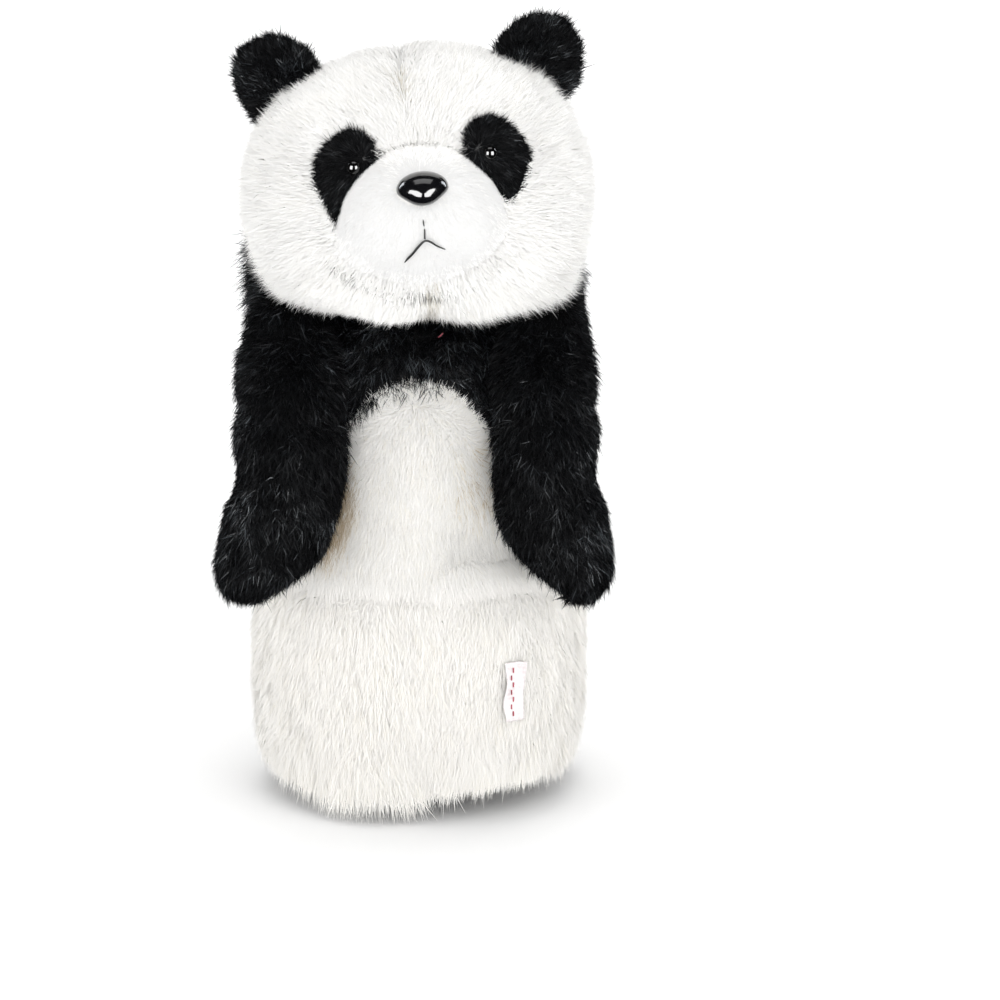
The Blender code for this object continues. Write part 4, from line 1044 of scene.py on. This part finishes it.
# The fold above the waist on the right is a real crease in the skin, and part of its hairs are greyer:
# painted shade.
zone = smooth(x, 0.004, 0.020) * smooth(0.136 - z, 0, 0.018) * smooth(z - 0.1065, 0, 0.003)
fold_shaded = np.random.default_rng(6).uniform(size=len(roots)) < 0.62 * zone      # the shaded fold above the waist
length = 0.0112 + foot * (0.0045 + 0.0045 * ripple(roots, 0.010, 89)) - 0.0058 * bump(arc - 1, 0.28) * high
length = length * (1 - 0.45 * foot * np.random.default_rng(7).uniform(size=len(roots)))
lift = 0.62 - 0.10 * foot + 0.26 * bump(arc - 0.62, 0.22) * high
# Towards the waist the pile leaves the bib's painted-shade white for the sleeve's own ivory.
deepen = warm_and_shade * 0.85 - 0.10 - 1.2 * foot
for pile, part, shades, blend, cast in (
    ("belly_pile", ~fold_shaded, IVORY[:1] + BIB_SHADED + SHADOWED, (0.01, 0.62, 0.22, 0.06, 0.06, 0.04), 0.3),
    ("belly_fold_shade_pile", fold_shaded, FOLD_SHADE, (0.6, 0.4), 1.0),
):
    fur(pile, roots[part], out[part], comb[part], length[part], 0.00030, "body", shades, 84,
        lift=lift[part], lay=0.7, tuft=0.0058, pull=0.08, droop=0.05, blend=blend, deepen=deepen[part],
        mix=0.15, lean=0.18, flat=0.15, cast=cast)

roots, out = torso_roots(rear, 64000, 85)
out = evened(roots, out)
foot = smooth(0.108 - roots[:, 2], 0, 0.014)
fur("back_pile", roots, out, torso_comb(roots, out), 0.0110 + 0.0040 * foot, 0.00032, "body", IVORY, 86,
    lift=0.58 - 0.12 * foot, lay=0.65, droop=0.05, blend=(0.6, 0.3, 0.1))


# ---------------------------------------------------------------- lower sleeve
def skirt_skin(degrees, z):
    p = oval(SKIRT, degrees, z)
    fold = np.sin(np.radians(degrees) * 6 + 2.2 * ripple(p * [1, 1, 0.3], 0.09, 91))
    out = -0.0002 + 0.0013 * fold * smooth(0.080 - z, 0, 0.05) + 0.0010 * ripple(p, 0.05, 92)
    out -= 0.0012 * bump(z - 0.0905, 0.0060)                      # drawn in by the waist elastic
    gathers = np.sin(np.radians(degrees) * 19 + 3 * ripple(p, 0.05, 93))
    out += 0.0012 * gathers * bump(z - 0.083, 0.010) * 0.5
    return p + round_out(p, 0.070, 0.0665) * out[:, None]


skirt_points = skirt_skin(*tube_grid(np.linspace(0.0063, 0.0914, 36), 180))
skirt = clean(new_mesh("sleeve_skin", skirt_points, grid_faces(180, 36, True), IVORY_SKIN), (0, 0, 0.045))
source = bpy.data.objects.new("sleeve_roots", skirt.data.copy())
walled(skirt, 0.0018)
stands_for(skirt, "body", "white_plush", "skirt_front", "skirt_back")

# The pile is rooted on the sheet before it had its wall, so that none grows inwards.
roots, out = scatter(source, 165000, 94, weight=lambda p: 1 + 0.9 * smooth(0.022 - p[:, 2], 0, 0.014))
waist, waist_out = scatter(source, 60000, 96, lambda p: p[:, 2] > 0.0855)
bpy.data.objects.remove(source)
out, waist_out = evened(roots, out), evened(waist, waist_out)
angle = np.arctan2(roots[:, 1], roots[:, 0])
low = smooth(0.020 - roots[:, 2], 0, 0.018)
top = smooth(roots[:, 2], 0.070, 0.088)
from_front = angle + math.pi / 2 + math.radians(20) + math.pi      # the hem hangs lowest left of the middle
from_front = np.degrees(from_front % (2 * math.pi) - math.pi)
hang = bump(from_front, 26) + 0.25 * (1 - bump(from_front, 70))
length = 0.0146 + low * (-0.0032 + 0.0105 * hang - 0.0050 * bump(from_front - 62, 34))
comb = across(DOWN + 0.18 * x_way(np.sin(angle * 3 + 1.0)), out)
fur("sleeve_pile", roots, out, comb, length, 0.00032, "body", IVORY, 95,
    lift=0.74 - 0.34 * low + 0.06 * top, lay=0.7, tuft=0.0070, stray=0.20, wave=0.06, droop=0.12,
    blend=(0.62, 0.28, 0.10), floor=PILE_FLOOR, cast=0.25)
turn = ripple(waist, 0.012, 98)[:, None] * 1.2
comb = DOWN * (1 - 0.5 * np.abs(turn)) + np.cross(waist_out, DOWN) * turn
fur("waist_pile", waist, waist_out, comb, 0.0125, 0.00032, "body", IVORY, 99, lift=0.74, lay=0.5,
    tuft=0.0060, pull=0.06, stray=0.25, wave=0.06, blend=(0.62, 0.28, 0.10), lean=0.5)


def ring(name, low, high, inner, outer, material, count, wobble, seed):
    """A closed round-edged band about the sleeve, between these heights and insets from the skin."""
    r = min(high - low, inner - outer) * 0.42
    corners = [(outer + r, high - r, 90), (outer + r, low + r, 180),
               (inner - r, low + r, 270), (inner - r, high - r, 0)]
    turn = np.linspace(0, 360, count, endpoint=False)
    rows = [(0, 0.0675, -0.0640, 0.0640), (1, 0.0675, -0.0640, 0.0640)]
    points = []
    for inset, z, start in corners:
        for t in np.radians(start + 90 * np.linspace(0, 1, 5)):
            p = oval(rows, turn, np.full(count, z + r * math.sin(t)), inset + r * math.cos(t))
            points.append(p + round_out(p, 0.0675, 0.064) * (wobble * ripple(p, 0.012, seed))[:, None])
    return clean(new_mesh(name, np.concatenate(points), grid_faces(count, len(points), True, True), material))


def lining_tube(name, rows, heights, inset, middle):
    p = oval(rows, *tube_grid(heights, 150), inset)
    n = unit(np.stack([p[:, 0], p[:, 1], 0 * p[:, 0]], axis=1))
    p = p - n * (0.0004 + 0.0006 * (1 + ripple(p, 0.035, 97)))[:, None]
    tube = clean(new_mesh(name, p, grid_faces(150, len(heights), True), LINING), (0, 0, middle))
    return walled(tube, 0.0006)


hem = ring("hem_roll", 0.0002, 0.0060, 0.0034, 0.0002, IVORY_SKIN, 180, 0.0002, 3)
stands_for(hem, "body", "white_plush", "hem_band")
elastic = ring("waist_channel", 0.0850, 0.0912, 0.0046, 0.0026, ELASTIC, 360, 0.0004, 4)
stands_for(elastic, "body", "elastic", "waist_elastic")
lining = lining_tube("sleeve_lining", SKIRT, np.linspace(0.0066, 0.0838, 24), 0.0034, 0.05)
stands_for(lining, "body", "lining_cloth", "skirt_lining")
pouch_top = [0.1835, 0.1870, 0.1887, 0.1900, 0.1904, 0.1906]
pouch_rows = np.concatenate([np.linspace(0.0922, 0.180, 26), pouch_top])
pouch = lining_tube("pouch_lining", POUCH, pouch_rows, 0.0, 0.13)
stands_for(pouch, "body", "lining_cloth", "pouch_lining_front", "pouch_lining_back", "pouch_lining_crown")


def sheet_area(obj):
    """Half the area of a walled sheet, which is the cloth's own area."""
    points, tris, _ = arrays(obj)
    a, b, c = (points[tris[:, k]] for k in range(3))
    return float(np.linalg.norm(np.cross(b - a, c - a), axis=1).sum() / 4)


for obj, tall in ((skirt, 0.086), (lining, 0.078)):
    sheet_area(obj) / tall
POUCH_FLAT = (0.44, 0.150)
min(sheet_area(pouch), POUCH_FLAT[0] * POUCH_FLAT[1])


# ---------------------------------------------------------------- arms
def arm_skin(degrees, z, side):
    out, y, half, deep = rows_at(ARM, z).T
    cosine, sine = np.cos(np.radians(degrees)), np.sin(np.radians(degrees))
    right = side > 0
    p = np.stack([side * out + half * cosine, y + deep * sine, z], axis=1)
    n = unit(np.stack([cosine / np.maximum(half, 1e-4), sine / np.maximum(deep, 1e-4), 0 * z], axis=1))
    crease = 0.0016 * bump(z - 0.178 - 0.1 * (p[:, 0] * side - 0.0575), 0.004)
    fold = 0.0010 * ripple(p, 0.03, 101 + side) - crease
    fold = fold - 0.0022 * bump(z - 0.150, 0.012) * smooth(cosine * side, 0.2, 1.0)      # a slight elbow
    inward = 0.5 - 0.5 * cosine * side
    slant = smooth(0.140 - z, 0, 0.040)                                                  # of the paw
    p[:, 0] += side * slant * (0.0110 if right else 0.0065) * inward
    p[:, 0] -= side * slant * (0.0040 if right else 0.0010) * (1 - inward)
    p[:, 0] += (0.0 if right else 0.0030) * inward * bump(z - 0.165, 0.030)
    p[:, 2] += (0.0075 if right else 0.0085) * inward**1.5 * smooth(0.125 - z, 0, 0.030)
    return p + n * ((fold - 0.0006) * smooth(np.minimum(0.2245 - z, z - 0.0938), 0, 0.006))[:, None]


ARM_TOP, ARM_FOOT = ARM[0][0], ARM[-1][0]
arm_rows = ARM_FOOT + (ARM_TOP - ARM_FOOT) * (0.5 - 0.5 * np.cos(np.linspace(0, np.pi, 70)))
for (side, name), shine in zip(SIDES, (0.9, 0.45)):
    arm_points = arm_skin(*tube_grid(arm_rows, 64), side)
    arm = clean(new_mesh(f"arm_{name}_skin", arm_points, grid_faces(64, 70, True), BLACK_SKIN))
    stands_for(arm, f"arm_{name}", "black_plush", f"arm_{name}_front", f"arm_{name}_back",
               f"arm_{name}_filling", fill=0.7)
    roots, out = scatter(arm, 54000, 103 + side)
    x, z = roots[:, 0] * side, roots[:, 2]
    paw = smooth(0.125 - z, 0, 0.02)
    flow = DOWN + np.stack([side * 0.25 * paw, -0.2 * paw, 0 * paw], axis=1)
    inner = smooth(out[:, 1], 0.1, 0.7)          # the side against the belly is pressed flat
    length = 0.0090 * (1 - 0.45 * inner) * (1 - 0.35 * smooth(0.106 - z, 0, 0.012))
    length = length - 0.0020 * (smooth(x - 0.060, 0, 0.012) * bump(z - 0.150, 0.016))
    # Painted sheen: lighter hairs in patches and along the arm's outer side, less of it on the right arm.
    sheen = smooth(ripple(roots, 0.034, 107 + side), -0.1, 0.8) * 0.24 + 0.14 * smooth(x, 0.060, 0.080)
    black_fur(f"arm_{name}_pile", roots, out, across(flow, out), length, 0.00038, f"arm_{name}", 105 + side,
              lift=0.60 * (1 - 0.5 * inner), lay=0.55, tuft=0.0042, pull=0.48, stray=0.32, wave=0.14,
              droop=0.03, deepen=sheen * shine - 0.06)

# ---------------------------------------------------------------- neck, trims and inner hardware
NECK_PROFILE = [(0.0, 0.0030), (0.006, 0.0028), (0.011, 0.0022), (0.0135, 0.0010), (0.0140, 0.0),
                (0.0135, -0.0010), (0.011, -0.0022), (0.006, -0.0028), (0.0, -0.0030)]
neck_turn = NECK_AXIS.to_track_quat("Z", "X").to_matrix().to_4x4()
neck_place = Matrix.Translation(NECK_BASE + NECK_AXIS * 0.0036) @ neck_turn
neck = lathe("neck_pad", NECK_PROFILE, 40, neck_place, BLACK_SKIN)
stands_for(neck, "neck", "filling", "neck_filling", fill=0.8)

HALF, DEEP = 0.0702, 0.0667              # of the skirt at the label
turn = 360 - math.degrees(math.acos((LABEL_X / HALF) ** (SQUARE / 2)))
seat = Vector(oval(SKIRT, np.array([turn]), np.array([LABEL_Z]))[0])
normal = Vector((abs(seat.x) ** 1.2 / HALF**2.2, -abs(seat.y) ** 1.2 / DEEP**2.2, 0)).normalized()
plate = Matrix.Translation(seat + normal * 0.0104 + Vector((-0.0046, -0.0004, 0)))      # out in the pile
plate = plate @ normal.to_track_quat("Z", "Y").to_matrix().to_4x4()
LABEL_U, LABEL_V = 0.0048, 0.0138        # half its width and height
uu, vv = np.meshgrid(np.linspace(-LABEL_U, LABEL_U, 15), np.linspace(-LABEL_V, LABEL_V, 33))
uu, vv = uu.ravel(), vv.ravel()
curl = 0.0034 * smooth(uu, 0.0010, LABEL_U) * smooth(vv, 0.004, LABEL_V) + 0.0010 * np.sin(vv * 420) * 0.35
curl = curl + 0.0010 * bump(vv + 0.006, 0.004) * (uu / LABEL_U)
label_points = [plate @ Vector(p) for p in np.stack([uu + 0.0006 * np.sin(vv * 260), vv, curl], axis=1)]
label = clean(new_mesh("side_tab", label_points, grid_faces(15, 33), SATIN), (0, 0, LABEL_Z))
walled(label, 0.0004)
stands_for(label, "body", "label_cloth", "side_label")
dashes = [
    [plate @ Vector((-0.0018 + 0.0005 * (-1) ** k, -0.0112 + k * 0.0034 + 0.0022 * s, 0.0007))
     for s in (0, 0.33, 0.66, 1)]
    for k in range(7)
]
thread("label_running_stitch", dashes, 0.00035, RED, "body", "label_stitch", "red_thread", kind="POLY",
       detail=2)

low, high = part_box("seam_thread")
middle = (low + Vector((high.x, low.y, high.z))) / 2
tail = [middle + Vector(step) for step in
        ((-0.0008, -0.0098, -0.0008), (0, -0.0108, 0), (0.0010, -0.0100, 0.0010))]
thread("seam_tail", [tail], 0.00030, RED, "body", "seam_thread", "red_thread")

for node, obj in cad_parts.items():
    if not obj.hide_render:
        for k in range(len(obj.material_slots)):
            obj.material_slots[k].link = "OBJECT"
            obj.material_slots[k].material = WASHER if "washer" in node else FILLING

# ---------------------------------------------------------------- floor, light and camera
sweep = [(-1.6, 0.0), (0.9, 0.0), (1.5, 0.03), (1.9, 0.16), (2.15, 0.42), (2.25, 0.80), (2.28, 2.6)]
points = [(x, y, FLOOR + z) for y, z in sweep for x in (-3.2, 3.2)]
faces = [(2 * k, 2 * k + 1, 2 * k + 3, 2 * k + 2) for k in range(len(sweep) - 1)]
paper = node_material("pale_paper", lambda tree, shader: set_inputs(
    shader, Base_Color=(0.99, 0.99, 0.99, 1), Roughness=0.9))
floor = new_mesh("studio_floor", points, faces, paper)
floor.visible_glossy = False

world = bpy.data.worlds.new("studio")
bpy.context.scene.world = world
world.use_nodes = True
set_inputs(world.node_tree.nodes["Background"], Color=(1.0, 1.0, 1.0, 1), Strength=0.86)
world.cycles_visibility.glossy = False       # so that black plush and plastic stay deep


def softbox(name, at, aim, size, power, colour=(1, 1, 1), glossy=True, diffuse=True):
    data = bpy.data.lights.new(name, "AREA")
    data.shape, data.size, data.size_y = "RECTANGLE", *size
    data.energy, data.color = power, colour
    made = add_object(name, data)
    made.location = at
    made.rotation_euler = (Vector(aim) - Vector(at)).to_track_quat("-Z", "Y").to_euler()
    made.visible_camera, made.visible_glossy, made.visible_diffuse = False, glossy, diffuse


AIM = (0.0, -0.03, 0.19)
COOL = (0.90, 0.95, 1.0)
softbox("key", (0.25, -1.15, 0.75), AIM, (1.2, 0.9), 4.6, glossy=False)
softbox("glint_left", (-0.74, -1.02, 0.52), AIM, (0.80, 1.05), 44, diffuse=False)
softbox("glint_right", (0.78, -0.98, 0.52), AIM, (0.80, 1.05), 44, diffuse=False)
softbox("side_left", (-1.20, -0.45, 0.40), AIM, (0.9, 0.9), 2.9, glossy=False)
softbox("side_right", (1.25, -0.40, 0.45), AIM, (0.9, 0.9), 2.7, glossy=False)
softbox("low_front", (0.0, -1.20, 0.06), (0, -0.03, 0.10), (1.2, 0.3), 2.6, glossy=False)
softbox("backdrop", (0.0, 0.8, 1.2), (0.0, 2.3, 0.2), (1.6, 0.5), 9.0, glossy=False)
softbox("top", (0.0, 0.15, 1.5), AIM, (0.9, 0.7), 3.4)
softbox("rim_left", (-1.2, 0.9, 0.9), AIM, (0.4, 0.8), 7.0, COOL, diffuse=False)
softbox("rim_right", (1.2, 0.9, 0.9), AIM, (0.4, 0.8), 7.0, COOL, diffuse=False)

ELEVATION, DISTANCE, TARGET = math.radians(14.5), 2.2, Vector((0.0373, -0.030, 0.1275))
camera_data = bpy.data.cameras.new("camera")
camera_data.sensor_width, camera_data.lens = 36.0, 36.0 * DISTANCE / 0.4545
camera_data.clip_start, camera_data.clip_end = 0.05, 20
camera = add_object("camera", camera_data)
camera.location = TARGET + Vector((0, -math.cos(ELEVATION), math.sin(ELEVATION))) * DISTANCE
camera.rotation_euler = (TARGET - camera.location).to_track_quat("-Z", "Y").to_euler()
bpy.context.scene.camera = camera
bpy.context.scene.view_settings.view_transform = "Standard"
